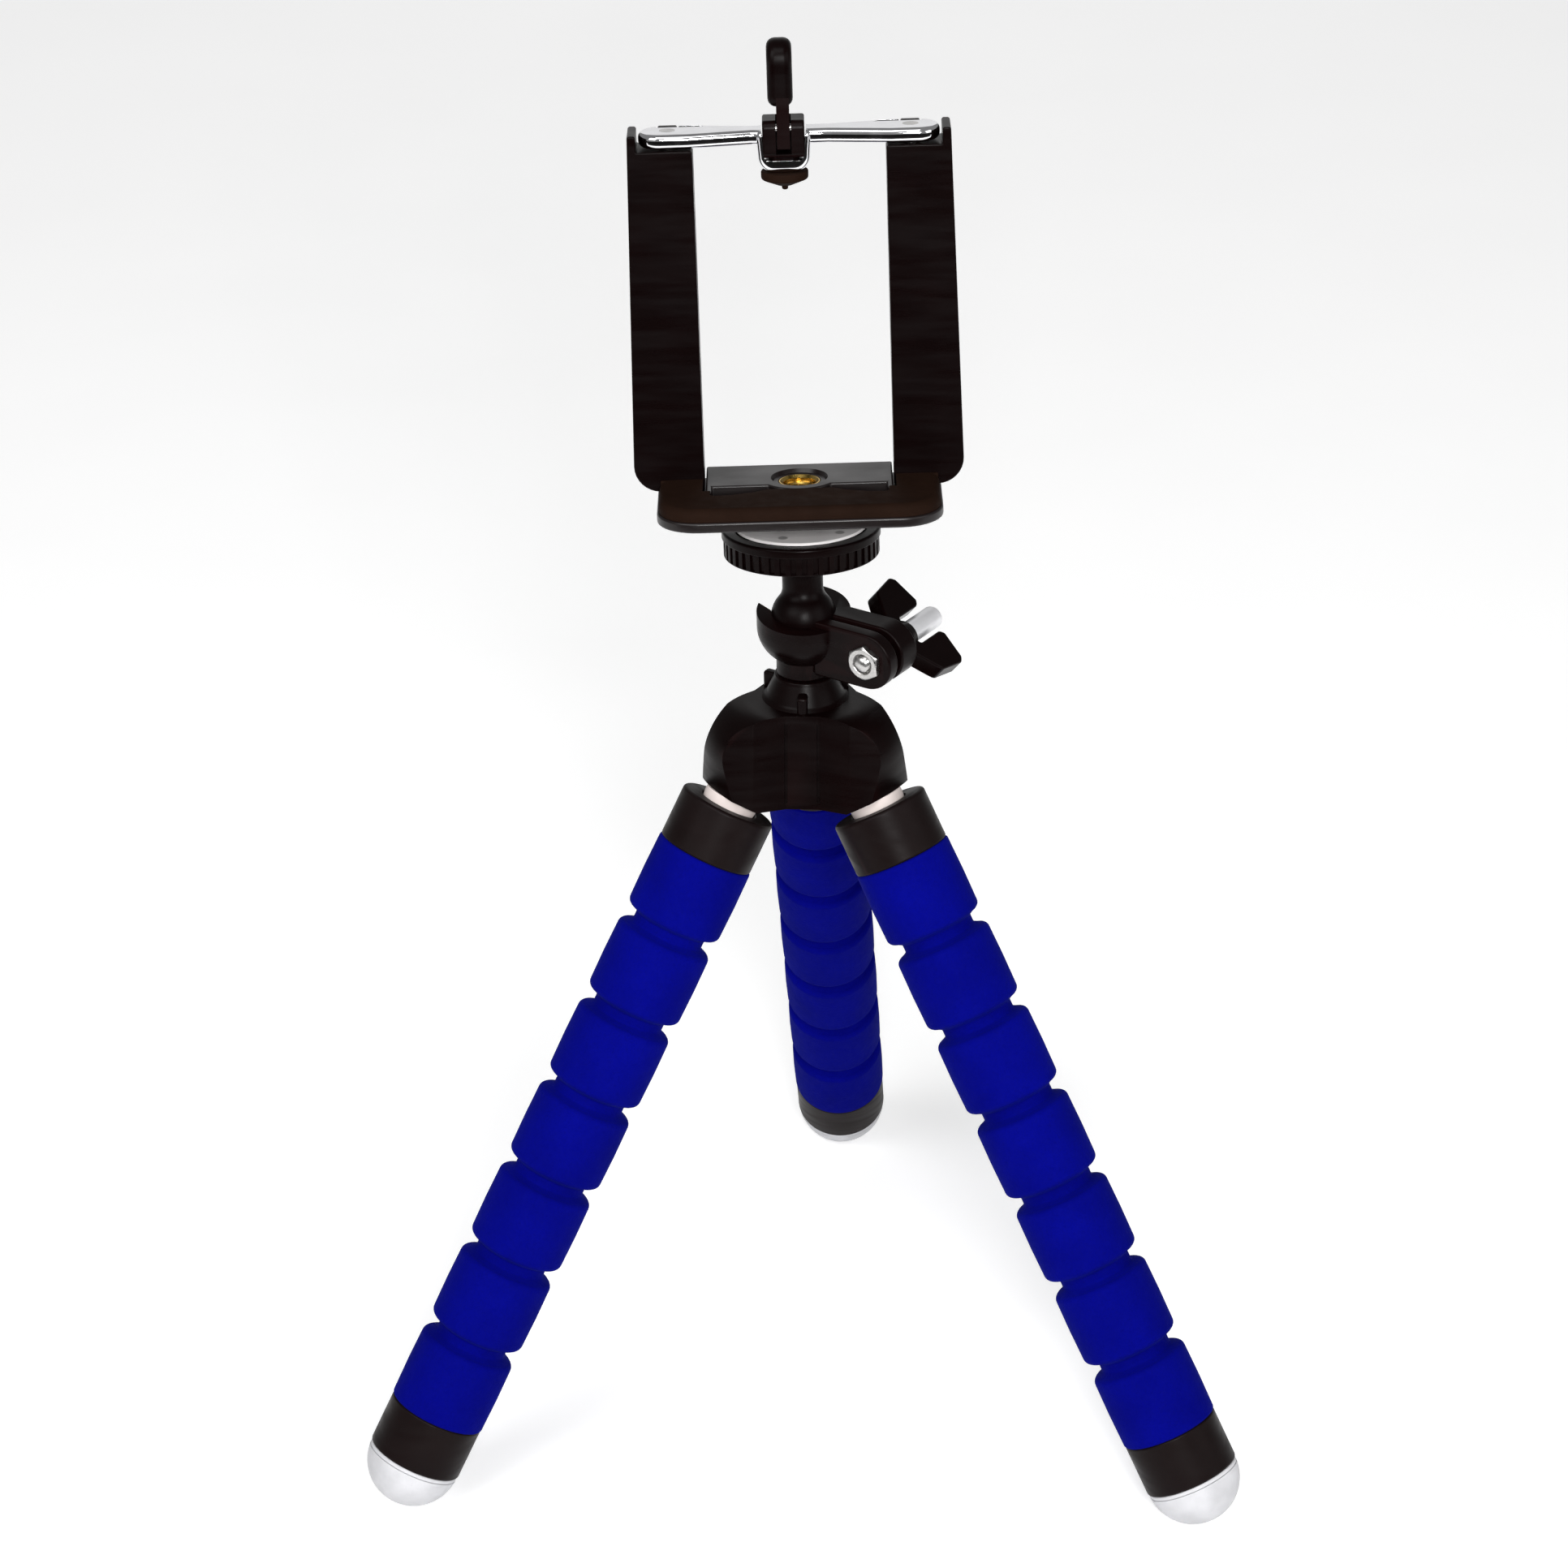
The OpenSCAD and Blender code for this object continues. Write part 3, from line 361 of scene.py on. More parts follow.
def shifted(piece, x=0, y=0, z=0):
    return settle(piece, Matrix.Translation((x, y, z)))


def cut(piece, *tools, operation="DIFFERENCE"):
    """Cuts tools out of a piece, or joins them to it, and removes them."""
    for tool in tools:
        pick(piece)
        change = piece.modifiers.new(operation, "BOOLEAN")
        change.object, change.operation, change.solver = tool, operation, "EXACT"
        bpy.ops.object.modifier_apply(modifier=change.name)
        if not piece.data.polygons:
            raise RuntimeError(f"{piece.name} is lost at {tool.name}")
        bpy.data.objects.remove(tool)
    return piece


def join(piece, *tools):
    return cut(piece, *tools, operation="UNION")


def soften(piece, width, segments=3, angle=32):
    """Rounds the edges that are sharper than angle."""
    edit(piece)
    bpy.ops.mesh.remove_doubles(threshold=0.02 * MM)
    bpy.ops.mesh.dissolve_limited(angle_limit=math.radians(0.4))
    bpy.ops.object.mode_set(mode="OBJECT")
    edge = piece.modifiers.new("edge", "BEVEL")
    edge.width, edge.segments = width, segments
    edge.limit_method, edge.angle_limit = "ANGLE", math.radians(angle)
    bpy.ops.object.modifier_apply(modifier=edge.name)
    return piece


def smooth(piece, angle=38):
    """Smooth shading that keeps the flat faces flat."""
    pick(piece)
    bpy.ops.object.shade_smooth_by_angle(angle=math.radians(angle))
    even = piece.modifiers.new("even", "WEIGHTED_NORMAL")
    even.keep_sharp = True
    bpy.ops.object.modifier_apply(modifier=even.name)
    return piece


def copied(piece, name):
    """A copy of a piece with a mesh of its own."""
    pick(piece)
    bpy.ops.object.duplicate()
    return named(name)


def dress(piece, finish, slot, body, *nodes):
    """Gives a piece its finish and the body that it rides on, in place of CAD nodes."""
    piece.data.materials.clear()
    piece.data.materials.append(finish)
    if nodes:
        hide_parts(*nodes)
    if body:
        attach(piece, body)
    deselect()
    return piece


def finished(piece, place, look, slot, body, *nodes, angle=38):
    """Smooths a piece, puts it in its place and dresses it."""
    settle(smooth(piece, angle), place)
    return dress(piece, finish(look), slot, body, *nodes)


def merged(pieces):
    """Makes one object of like pieces."""
    pick(pieces[0])
    for other in pieces[1:]:
        other.select_set(True)
    bpy.ops.object.join()
    return pieces[0]


def cross(half, width, low, high, turn=0.0):
    """The cutters of a cross in a screw's head."""
    return [settle(block("cross", (-half, -width, low), (half, width, high)),
                   Matrix.Rotation(turn + k * math.pi / 2, 4, "Z")) for k in range(2)]


def paint(node, finish):
    """Gives a CAD node that stays its finish."""
    frame["nodes"][node].material_slots[0].material = finish


# Finishes

class Finish:
    """A material made of nodes on Object coordinates."""

    def __init__(self, name, **sockets):
        self.material = bpy.data.materials.new(name)
        self.material.use_nodes = True
        self.nodes = self.material.node_tree.nodes
        self.links = self.material.node_tree.links
        self.shader = self.nodes["Principled BSDF"]
        self.fill(self.shader, sockets)
        self.where = self.node("TexCoord", "Object")

    def fill(self, node, sockets):
        """Links outputs into a node's sockets, and sets plain values on the others."""
        for name, value in sockets.items():
            socket = node.inputs[name.replace("_", " ")]
            if isinstance(value, bpy.types.NodeSocket):
                self.links.new(value, socket)
            else:
                socket.default_value = value
        return node

    def node(self, kind, output, **sockets):
        """An output of a new node."""
        return self.fill(self.nodes.new(f"ShaderNode{kind}"), sockets).outputs[output]

    def stretched(self, scale, place=None):
        """Object coordinates, turned into a piece's own frame and scaled along its axes."""
        back = place.inverted() if place else Matrix()
        return self.node("Mapping", "Vector", Vector=self.where, Rotation=back.to_euler(), Scale=scale,
                         Location=[a * b for a, b in zip(back.translation, scale)])

    def noise(self, scale, detail=3, where=None):
        return self.node("TexNoise", "Fac", Scale=scale, Detail=detail, Vector=where or self.where)

    def cells(self, scale, where=None):
        return self.node("TexVoronoi", "Distance", Scale=scale, Vector=where or self.where)

    def spread(self, value, low, high, start=0.3, end=0.7):
        """Value from start to end, spread over low to high."""
        return self.node("MapRange", "Result", Value=value, From_Min=start, From_Max=end,
                         To_Min=low, To_Max=high)

    def colours(self, value, *stops):
        """A ramp of (place, colour) stops."""
        ramp = self.nodes.new("ShaderNodeValToRGB")
        while len(ramp.color_ramp.elements) < len(stops):
            ramp.color_ramp.elements.new(1)
        for element, (place, colour) in zip(ramp.color_ramp.elements, stops):
            element.position = place
            element.color = (*colour, 1)
        self.links.new(value, ramp.inputs["Fac"])
        return ramp.outputs["Color"]

    def overlay(self, factor, under, upper):
        """The colour upper over under, by factor."""
        mix = self.nodes.new("ShaderNodeMix")
        mix.data_type = "RGBA"
        self.links.new(factor, mix.inputs["Factor"])
        self.links.new(under, mix.inputs[6])
        mix.inputs[7].default_value = (*upper, 1)
        return mix.outputs[2]

    def sum(self, one, other):
        add = self.nodes.new("ShaderNodeMath")
        self.links.new(one, add.inputs[0])
        self.links.new(other, add.inputs[1])
        return add.outputs["Value"]

    def wear_and_highlight(self):
        """How far a point stands on an outer edge: the mask of the paler edges, partly wear and partly a
        painted highlight.
        """
        return self.spread(self.node("NewGeometry", "Pointiness"), 0, 1, 0.53, 0.62)

    def bumps(self, value, strength, depth, **under):
        """A bumped normal, over another one if Normal is given."""
        return self.node("Bump", "Normal", Strength=strength, Distance=depth, Height=value, **under)

    def into(self, **outputs):
        """The material, with outputs linked into the shader's sockets."""
        self.fill(self.shader, outputs)
        return self.material


def shade(colour, factor):
    return tuple(min(1, c * factor) for c in colour)


def foam_finish(colour):
    """Closed-cell foam: fine pores, a soft nap and slightly uneven dye."""
    f = Finish("foam_sleeve", Specular_IOR_Level=0.03, Sheen_Weight=0.05, Sheen_Roughness=0.5,
               Sheen_Tint=(0.05, 0.1, 1, 1))
    dye = f.colours(f.noise(95, 4), (0.3, shade(colour, 0.84)), (0.7, shade(colour, 1.08)))
    pores = f.spread(f.cells(1500), 0, 1, 0.05, 0.45)
    dyed = f.overlay(f.spread(f.noise(2300, 2), 0, 0.35, 0.5, 0.72), dye, shade(colour, 0.62))
    nap = f.bumps(f.noise(3200, 2), 0.30, 0.00012)
    return f.into(Base_Color=dyed, Roughness=f.spread(f.noise(700), 0.82, 0.95),
                  Normal=f.bumps(pores, 0.22, 0.00015, Normal=nap))


def moulded_finish(name, colour, low, high, grain=0.05, edge=2.0, shine=0.07):
    """Moulded plastic: a fine grain, uneven gloss, faint handling marks and paler edges, partly wear and
    partly a painted highlight.
    """
    f = Finish(name, Specular_IOR_Level=shine)
    tone = f.colours(f.noise(140, 5), (0.25, shade(colour, 0.86)), (0.75, shade(colour, 1.16)))
    # Outer edges are painted paler, by edge times the colour: partly wear, partly a painted highlight.
    wear_and_highlight = f.overlay(f.wear_and_highlight(), tone, shade(colour, edge))
    marks = f.noise(60, 4, f.stretched((1, 1, 9)))
    return f.into(Base_Color=wear_and_highlight, Roughness=f.spread(marks, low, high, 0.35, 0.68),
                  Normal=f.bumps(f.noise(2600, 3), grain, 0.0001))


def rubber_finish(name, colour, rough, fleck, shine):
    """Rubber: matt, with a fine texture and flecks of dust."""
    f = Finish(name, Specular_IOR_Level=shine)
    tone = f.colours(f.noise(170, 4), (0.3, shade(colour, 0.88)), (0.7, shade(colour, 1.12)))
    dusty = f.overlay(f.spread(f.cells(620), 0.45, 0, 0.02, 0.10), tone, fleck)
    return f.into(Base_Color=dusty, Roughness=f.spread(f.noise(330), rough - 0.08, rough + 0.08),
                  Normal=f.bumps(f.noise(1900, 4), 0.16, 0.00012))


def metal_finish(name, colour, low, high, brush, depth, place=None, bare=1.0):
    """Metal: fine brushing along one way, faint smears and a few darker specks."""
    f = Finish(name, Metallic=bare)
    lines = f.noise(420, 3, f.stretched(brush, place))
    tone = f.colours(f.noise(210, 4), (0.3, shade(colour, 0.90)), (0.7, shade(colour, 1.04)))
    specks = f.overlay(f.spread(f.cells(900), 0.2, 0, 0.01, 0.06), tone, shade(colour, 0.55))
    return f.into(Base_Color=specks, Roughness=f.spread(lines, low, high),
                  Normal=f.bumps(lines, depth, 0.00006))


def dotted_finish(colour):
    """The disc's pale pad: a soft skin with rows of small grey dots."""
    f = Finish("dotted_pad", Specular_IOR_Level=0.4)
    grid = f.stretched((190, 190, 1), clip_place())
    dots = f.spread(f.cells(1, where=grid), 1, 0, 0.14, 0.21)
    tone = f.colours(f.noise(120, 4), (0.3, shade(colour, 0.94)), (0.7, shade(colour, 1.06)))
    dotted = f.overlay(dots, tone, shade(colour, 0.42))
    return f.into(Base_Color=dotted, Roughness=f.spread(f.noise(240), 0.5, 0.65),
                  Normal=f.bumps(dots, 0.25, 0.0002))


FINISHES = {}


def finish(key):
    """The finish of that name, made once."""
    tints = bpy.context.scene.tripod_finishes
    makers = {
        "foam": lambda: foam_finish(tints.foam),
        "black": lambda: moulded_finish("black_plastic", tints.black, 0.26, 0.42),
        "gloss": lambda: moulded_finish("glossy_plastic", tints.black, 0.14, 0.26, 0.03),
        "cap": lambda: moulded_finish("cap_plastic", tints.cap, 0.36, 0.52, 0.08, 2.4, 0.08),
        "tray": lambda: moulded_finish("tray_plastic", tints.tray, 0.30, 0.44, 0.08, 1.3, 0.4),
        "pad": lambda: rubber_finish("brown_rubber", tints.pad, 0.70, shade(tints.pad, 2.2), 0.02),
        "foot": lambda: rubber_finish("white_rubber", tints.foot, 0.55, shade(tints.foot, 0.9), 0.35),
        "pale": lambda: moulded_finish("pale_plastic", tints.pale, 0.42, 0.58, 0.06, 1.05),
        "dots": lambda: dotted_finish(tints.disc),
        "chrome": lambda: metal_finish("chrome", tints.chrome, 0.05, 0.11, (1, 1, 1), 0.02),
        "steel": lambda: metal_finish("brushed_steel", tints.steel, 0.22, 0.38, (1, 1, 6), 0.05),
        "sleeve": lambda: metal_finish(
            "satin_sleeve", tints.chrome, 0.30, 0.44, (9, 9, 1), 0.06, bolt_place(), 0.45),
        "brass": lambda: metal_finish("brass", tints.brass, 0.16, 0.30, (1, 1, 5), 0.04),
    }
    if key not in FINISHES:
        FINISHES[key] = makers[key]()
    return FINISHES[key]


# Pieces

class TRIPOD_OT_foam(bpy.types.Operator):
    """Models the foam sleeves: seven segments a leg, and the necks between them, where the real foam bends
    """

    bl_idname = "tripod.foam"
    bl_label = "Foam Sleeves"

    def segment(self, s, first, last):
        """One segment from its top down, with soft edges and a slightly swollen waist."""
        swell, cap_edge, end = 0.10 * MM, 0.5 * MM, s.segment
        root, plug = s.groove_r - 0.4 * MM, s.seat_r - 0.05 * MM
        corners = [(root, 0, 0), (s.foam_r, 0, s.edge_r)]
        if first:
            corners = [(plug, -s.seat, 0), (plug, 0, 0), (s.foam_r, 0, cap_edge)]
        corners += [(s.foam_r + swell, end / 2, 30 * MM)]
        if last:
            corners += [(s.foam_r, end, cap_edge), (plug, end, 0), (plug, end + s.seat, 0)]
        else:
            corners += [(s.foam_r, end, s.edge_r), (root, end, 0)]
        side = rounded(corners, closed=False, steps=6)
        return [(0, side[0].y)] + side + [(0, side[-1].y)]

    def neck(self, s):
        """The foam at the bottom of a groove, flaring into the segments on both sides."""
        half, deep = s.groove / 2, 1.6 * MM
        inner = s.groove_r - 1.2 * MM
        lower = [(inner, half + deep, 0), (s.groove_r - 0.2 * MM, half + deep, 0),
                 (s.foam_r - 0.9 * MM, half + 0.1 * MM, 0), (s.groove_r, half - 0.7 * MM, 0.6 * MM)]
        upper = [(r, -z, edge) for r, z, edge in lower]
        return rounded(upper + lower[::-1] + upper[:1], closed=False, steps=4)

    def execute(self, context):
        s = context.scene.tripod_legs
        pitch = s.segment + s.groove
        shapes = {
            "first": smooth(turned("sleeve_first", self.segment(s, True, False), 96)),
            "plain": smooth(turned("sleeve_plain", self.segment(s, False, False), 96)),
            "last": smooth(turned("sleeve_last", self.segment(s, False, True), 96)),
            "neck": smooth(turned("sleeve_neck", self.neck(s), 96), 70),
        }
        for leg in LEGS:
            place = leg_place(leg)
            for i in range(1, SEGMENTS + 1):
                shape = "first" if i == 1 else "last" if i == SEGMENTS else "plain"
                top = s.cap_len + (i - 1) * pitch
                piece = copied(shapes[shape], f"sleeve_{leg}_{i}")
                settle(piece, place @ Matrix.Translation((0, 0, top)))
                nodes = [f"foam_{leg}_{i}"] + ([f"leg_wire_{leg}"] if i == 1 else [])
                dress(piece, finish("foam"), "foam", f"leg_{leg}_{i}", *nodes)
                if i == SEGMENTS:
                    continue
                end = top + s.segment
                neck = copied(shapes["neck"], f"groove_{leg}_{i}")
                settle(neck, place @ Matrix.Translation((0, 0, end + s.groove / 2)))
                dress(neck, finish("foam"), "foam", None)
                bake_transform(neck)
        for shape in shapes.values():
            bpy.data.objects.remove(shape)
        return {"FINISHED"}


class TRIPOD_OT_leg_ends(bpy.types.Operator):
    """Models the caps on both ends of the legs and the rubber feet"""

    bl_idname = "tripod.leg_ends"
    bl_label = "Caps and Feet"

    def top_cap(self, s):
        socket_r, pivot = 5.7 * MM, -NECK_RISE * MM
        bowl = arc((0, pivot), socket_r, 90, 12, 10)
        bore = s.cap_len - s.seat
        wall = rounded([(bowl[-1].x, bowl[-1].y, 0), (bowl[-1].x + 0.2 * MM, 0, 0.2 * MM),
                        (s.cap_r, 0, 0.7 * MM), (s.cap_r, s.cap_len, 0.4 * MM),
                        (s.seat_r, s.cap_len, 0.2 * MM), (s.seat_r, bore, 0), (0, bore, 0)], closed=False)
        return bowl + wall[1:]

    def end_cap(self, s):
        floor = s.cap_len - 3.3 * MM
        return rounded([(0, s.seat, 0), (s.seat_r, s.seat, 0), (s.seat_r, 0, 0.2 * MM),
                        (s.cap_r, 0, 0.4 * MM), (s.cap_r, s.cap_len, 0.5 * MM), (3.05 * MM, s.cap_len, 0),
                        (3.05 * MM, floor, 0), (0, floor, 0)], closed=False)

    def foot(self, s):
        radius = 9.221 * MM
        centre = s.foot_h - radius
        dome = arc((0, centre), radius, 90, 3, 24)
        groove = 0.25 * MM
        return dome + rounded([(s.foot_r, 1.3 * MM, 0), (s.foot_r - groove, 1.1 * MM, 0),
                               (s.foot_r - groove, 0.9 * MM, 0), (s.foot_r, 0.7 * MM, 0),
                               (s.foot_r, 0, 0.3 * MM), (3 * MM, 0, 0), (3 * MM, -3 * MM, 0.3 * MM),
                               (0, -3 * MM, 0)], closed=False)

    def execute(self, context):
        s = context.scene.tripod_legs
        end = s.cap_len + SEGMENTS * (s.segment + s.groove) - s.groove
        kinds = (
            ("cap_upper", self.top_cap(s), 0, "cap", "cap_plastic", 1, "top_cap"),
            ("cap_lower", self.end_cap(s), end, "cap", "cap_plastic", SEGMENTS, "bottom_cap"),
            ("sole", self.foot(s), end + s.cap_len, "foot", "white_rubber", SEGMENTS, "foot"),
        )
        for name, profile, low, look, slot, body, node in kinds:
            shape = smooth(turned(name, profile, 80))
            for leg in LEGS:
                piece = copied(shape, f"{name}_{leg}")
                settle(piece, leg_place(leg) @ Matrix.Translation((0, 0, low)))
                dress(piece, finish(look), slot, f"leg_{leg}_{body}", f"{node}_{leg}")
            bpy.data.objects.remove(shape)
        paint("leg_collars", finish("pale"))
        return {"FINISHED"}


class TRIPOD_OT_hub(bpy.types.Operator):
    """Models the hub: a dome with three flat sides, a ribbed neck and a face over each leg"""

    bl_idname = "tripod.hub"
    bl_label = "Hub"

    MIDDLE = 13.6 * MM

    def leaning(self, s, azimuth):
        """Leans a side in towards the neck, from its foot up."""
        foot = Matrix.Translation((self.MIDDLE, 0, s.hub_low))
        lean = foot @ Matrix.Rotation(math.radians(-13), 4, "Y") @ foot.inverted()
        return Matrix.Rotation(azimuth, 4, "Z") @ lean

    def side(self, s, azimuth):
        """The cutter of one side: a shallow V with flat outer parts."""
        middle, flat, half, run = self.MIDDLE, 15.7 * MM, 3.1 * MM, 45 * MM
        out = half + (flat - middle) / math.tan(math.radians(19))
        outline = [(middle, -half), (middle, half), (flat, out), (flat, run),
                   (run, run), (run, -run), (flat, -run), (flat, -out)]
        return settle(prism("side", outline, -run, run), self.leaning(s, azimuth))

    def groove(self, s, azimuth, y):
        middle, width = self.MIDDLE, 0.6 * MM
        tool = block("groove", (middle - 0.4 * MM, y - width / 2, 2.4 * MM),
                     (middle + 0.4 * MM, y + width / 2, 17.8 * MM))
        return settle(tool, self.leaning(s, azimuth))

    def execute(self, context):
        s = context.scene.tripod_head
        back = hub_place().inverted()
        legs = [back @ leg_place(leg) for leg in LEGS]
        turns = sorted(math.atan2(leg.translation.y, leg.translation.x) % (2 * math.pi) for leg in legs)
        sides = [(a + b) / 2 for a, b in zip(turns, turns[1:] + [turns[0] + 2 * math.pi])]
        shoulder = (s.hub_r - s.hub_round, s.hub_top - s.hub_round)
        dome = turned("hub_shell", [(0, s.hub_low), (s.hub_r, s.hub_low),
                                    *arc(shoulder, s.hub_round, 0, 90, 18), (0, s.hub_top)], 96)
        cut(dome, *[self.side(s, a) for a in sides])
        cut(dome, *[self.groove(s, a, y) for a in sides for y in (-3.1 * MM, 3.1 * MM)])
        cut(dome, *[settle(rod("face", 19.1 * MM, -1.8 * MM, 19 * MM, 96), leg) for leg in legs])
        cut(dome, *[settle(rod("shank", 4.05 * MM, -7.8 * MM, 0), leg) for leg in legs])
        soften(dome, 0.6 * MM, 3, 24)
        neck = lathe("hub_neck", [
            (0, 4 * MM, 0), (8.3 * MM, 4 * MM, 0), (8.3 * MM, s.hub_top, 0),
            (7.6 * MM, s.hub_top + 0.6 * MM, 1.5 * MM), (5.9 * MM, 23.4 * MM, 0.8 * MM),
            (5.7 * MM, 24 * MM, 0.3 * MM), (0, 24 * MM, 0)])
        for a in sides:
            rib = block("rib", (0, -1 * MM, 10 * MM), (9 * MM, 1 * MM, 22.4 * MM))
            join(neck, settle(soften(rib, 0.6 * MM), Matrix.Rotation(a, 4, "Z")))
        join(dome, neck)
        cut(dome, rod("head_seat", 3.65 * MM, 0, s.hub_low + 2.2 * MM),
            rod("bore", 2.05 * MM, 0, 30 * MM))
        finished(dome, hub_place(), "black", "black_plastic", "hub", "hub")
        self.screw(s)
        return {"FINISHED"}

    def screw(self, s):
        """The screw under the hub, with a cross in its head."""
        low = s.hub_low
        screw = lathe("hub_bolt", [
            (0, low, 0), (3.55 * MM, low, 0.9 * MM), (3.55 * MM, low + 2.15 * MM, 0),
            (2 * MM, low + 2.15 * MM, 0), (2 * MM, 28.1 * MM, 0.4 * MM), (0, 28.1 * MM, 0)], 48)
        cut(screw, *cross(2.2 * MM, 0.35 * MM, 0, low + 1.1 * MM))
        finished(screw, hub_place(), "steel", "steel", "hub", "hub_screw")


class TRIPOD_OT_cup(bpy.types.Operator):
    """Models the split cup with its slanted rim, two lugs, notch and nut"""

    bl_idname = "tripod.cup"
    bl_label = "Clamp Cup"

    def lug(self, low, high):
        radius, reach = 5.6 * MM, 11.8 * MM
        outline = [(-reach, -radius), *arc((0, 0), radius, -90, 90, 20), (-reach, radius)]
        return settle(soften(prism("lug", outline, low, high), 0.45 * MM), bolt_place())

    def execute(self, context):
        s = context.scene.tripod_head
        head = head_place()
        curve = 7.5 * MM
        inner = s.cup_r - curve
        low = 24.3 * MM - s.ball_z
        foot_r = 5.4 * MM
        foot = rounded([(0, low, 0), (foot_r, low, 0.4 * MM), (foot_r, -8.2 * MM, 0.8 * MM)], closed=False)
        bowl = arc((inner, -inner), curve, -59, 0, 16)
        high = s.cup_rim + 2 * MM
        wall = [(s.cup_r, high), (4 * MM, high), (4 * MM, 0), (0, 0)]
        cup = turned("cup_shell", foot[:-1] + bowl + wall, 96)
        slant = Matrix.Translation((0, 0, s.cup_rim)) @ Matrix.Rotation(math.radians(8), 4, "X")
        cut(cup, settle(block("above", (-20 * MM, -20 * MM, 0), (20 * MM, 20 * MM, 20 * MM)), slant),
            globe("ball_room", s.ball_r + 0.05 * MM), self.notch(s))
        settle(soften(cup, 0.5 * MM, 3, 40), head)
        half_split = 0.75 * MM
        join(cup, self.lug(-3.65 * MM, -half_split), self.lug(half_split, 5.95 * MM))
        cut(cup, settle(globe("ball_room", s.ball_r + 0.06 * MM), head))
        flat_bolt = bolt_place()
        flat_bolt.translation = head.translation
        split = block("split", (0, -12 * MM, -half_split), (24 * MM, s.ball_r, half_split))
        cut(cup, settle(split, flat_bolt))
        bolt = bolt_place()
        cut(cup, settle(rod("bolt_hole", 1.55 * MM, -8 * MM, 8 * MM), bolt),
            settle(rod("nut_pocket", 3.63 * MM, -6 * MM, -2.45 * MM, 6), bolt))
        soften(cup, 0.15 * MM, 2, 50)
        dress(smooth(cup), finish("black"), "black_plastic", "head", "cup")
        self.nut(bolt)
        return {"FINISHED"}

    def notch(self, s):
        """The cutter of the notch that the stem drops into."""
        radius = s.stem_r + 0.7 * MM
        notch = settle(rod("notch", radius, 0, 12 * MM), Matrix.Rotation(-math.pi / 2, 4, "X"))
        join(notch, block("slot", (-radius, 0, 0), (radius, 12 * MM, 5 * MM)))
        return settle(notch, Matrix.Rotation(s.notch_turn - math.pi / 2, 4, "Z"))

    def nut(self, bolt):
        """The hex nut, with its corners turned down and a chamfered thread."""
        low, high = -4.85 * MM, -2.45 * MM
        nut = rod("hex_nut", 3.1 * MM / math.cos(math.radians(30)), low, high, 6)
        corner = 3.75 * MM
        turned_off = lathe("turned_off", [
            (0, low, 0), (2.9 * MM, low, 0.1 * MM), (corner, low + 0.5 * MM, 0),
            (corner, high - 0.3 * MM, 0), (3.05 * MM, high, 0), (0, high, 0)], 64)
        cut(nut, turned_off, operation="INTERSECT")
        thread = [(0, low - MM), (2.15 * MM, low - 0.02 * MM), (1.55 * MM, low + 0.7 * MM),
                  (1.55 * MM, high + MM), (0, high + MM)]
        cut(nut, turned("thread", thread, 48))
        soften(nut, 0.10 * MM, 2, 25)
        settle(nut, bolt)
        dress(smooth(nut), finish("steel"), "steel", "head", "clamp_nut")


class TRIPOD_OT_knob(bpy.types.Operator):
    """Models the wing knob, its bright sleeve and the clamp bolt"""

    bl_idname = "tripod.knob"
    bl_label = "Wing Knob"

    WING_TURNS = (40, 220)

    def execute(self, context):
        bolt = bolt_place()
        face, boss_len = 6.25 * MM, 4 * MM
        top = face + boss_len
        boss = lathe("wing_handle", [
            (1.55 * MM, face, 0), (3.6 * MM, face, 0.3 * MM), (3.6 * MM, face + 2 * MM, 0.5 * MM),
            (3.1 * MM, top, 0.4 * MM), (1.55 * MM, top, 0), (1.55 * MM, face, 0)], 64)
        for turn in self.WING_TURNS:
            join(boss, settle(self.wing(face), Matrix.Rotation(math.radians(turn), 4, "Z")))
        cut(boss, rod("sleeve_room", 2.25 * MM, top, top + 12 * MM))
        finished(boss, bolt, "gloss", "black_plastic", "knob", "wing_knob")
        end = top + 10.3 * MM
        sleeve = lathe("knob_ferrule", [
            (1.55 * MM, top + 0.05 * MM, 0), (2.2 * MM, top + 0.05 * MM, 0), (2.2 * MM, end, 0.7 * MM),
            (0.7 * MM, end, 0.1 * MM), (0.5 * MM, end - 0.25 * MM, 0), (0, end - 0.25 * MM, 0)], 64)
        finished(sleeve, bolt, "sleeve", "chrome", "knob", "knob_sleeve")
        self.bolt(bolt)
        return {"FINISHED"}

    def wing(self, face):
        """One wing: a thick plate that spreads from the boss, clear of the sleeve."""
        thick = 3.8 * MM
        corners = ((2.2, 0.4, 0), (3.7, 0.4, 0.8), (8.5, 3.2, 1.2), (9.8, 4.1, 1.2), (10.7, 9.7, 0.9),
                   (9.8, 10.7, 0.9), (4.1, 11.5, 0.9), (3.2, 10.6, 0.9), (3.2, 4.2, 0.8), (2.2, 3.9, 0))
        outline = rounded([(x * MM, face + y * MM, r * MM) for x, y, r in corners])
        return soften(upright(prism("wing", outline, -thick / 2, thick / 2), 0), 0.9 * MM, 4, 40)

    def bolt(self, place):
        """The bolt: its end beyond the nut has turns of thread and a domed tip."""
        low, high, radius, pitch = -5.65 * MM, 19.5 * MM, 1.5 * MM, 0.5 * MM
        line = [(0, low), (0.9 * MM, low + 0.05 * MM), (1.25 * MM, low + 0.25 * MM)]
        for k in range(6):
            z = low + 0.3 * MM + k * pitch
            line += [(radius, z + 0.15 * MM), (radius - 0.22 * MM, z + 0.4 * MM)]
        line += [(radius, z + pitch), (radius, high), (0, high)]
        bolt = settle(turned("clamp_stud", line, 40), place)
        dress(smooth(bolt, 50), finish("steel"), "steel", "knob", "clamp_bolt")


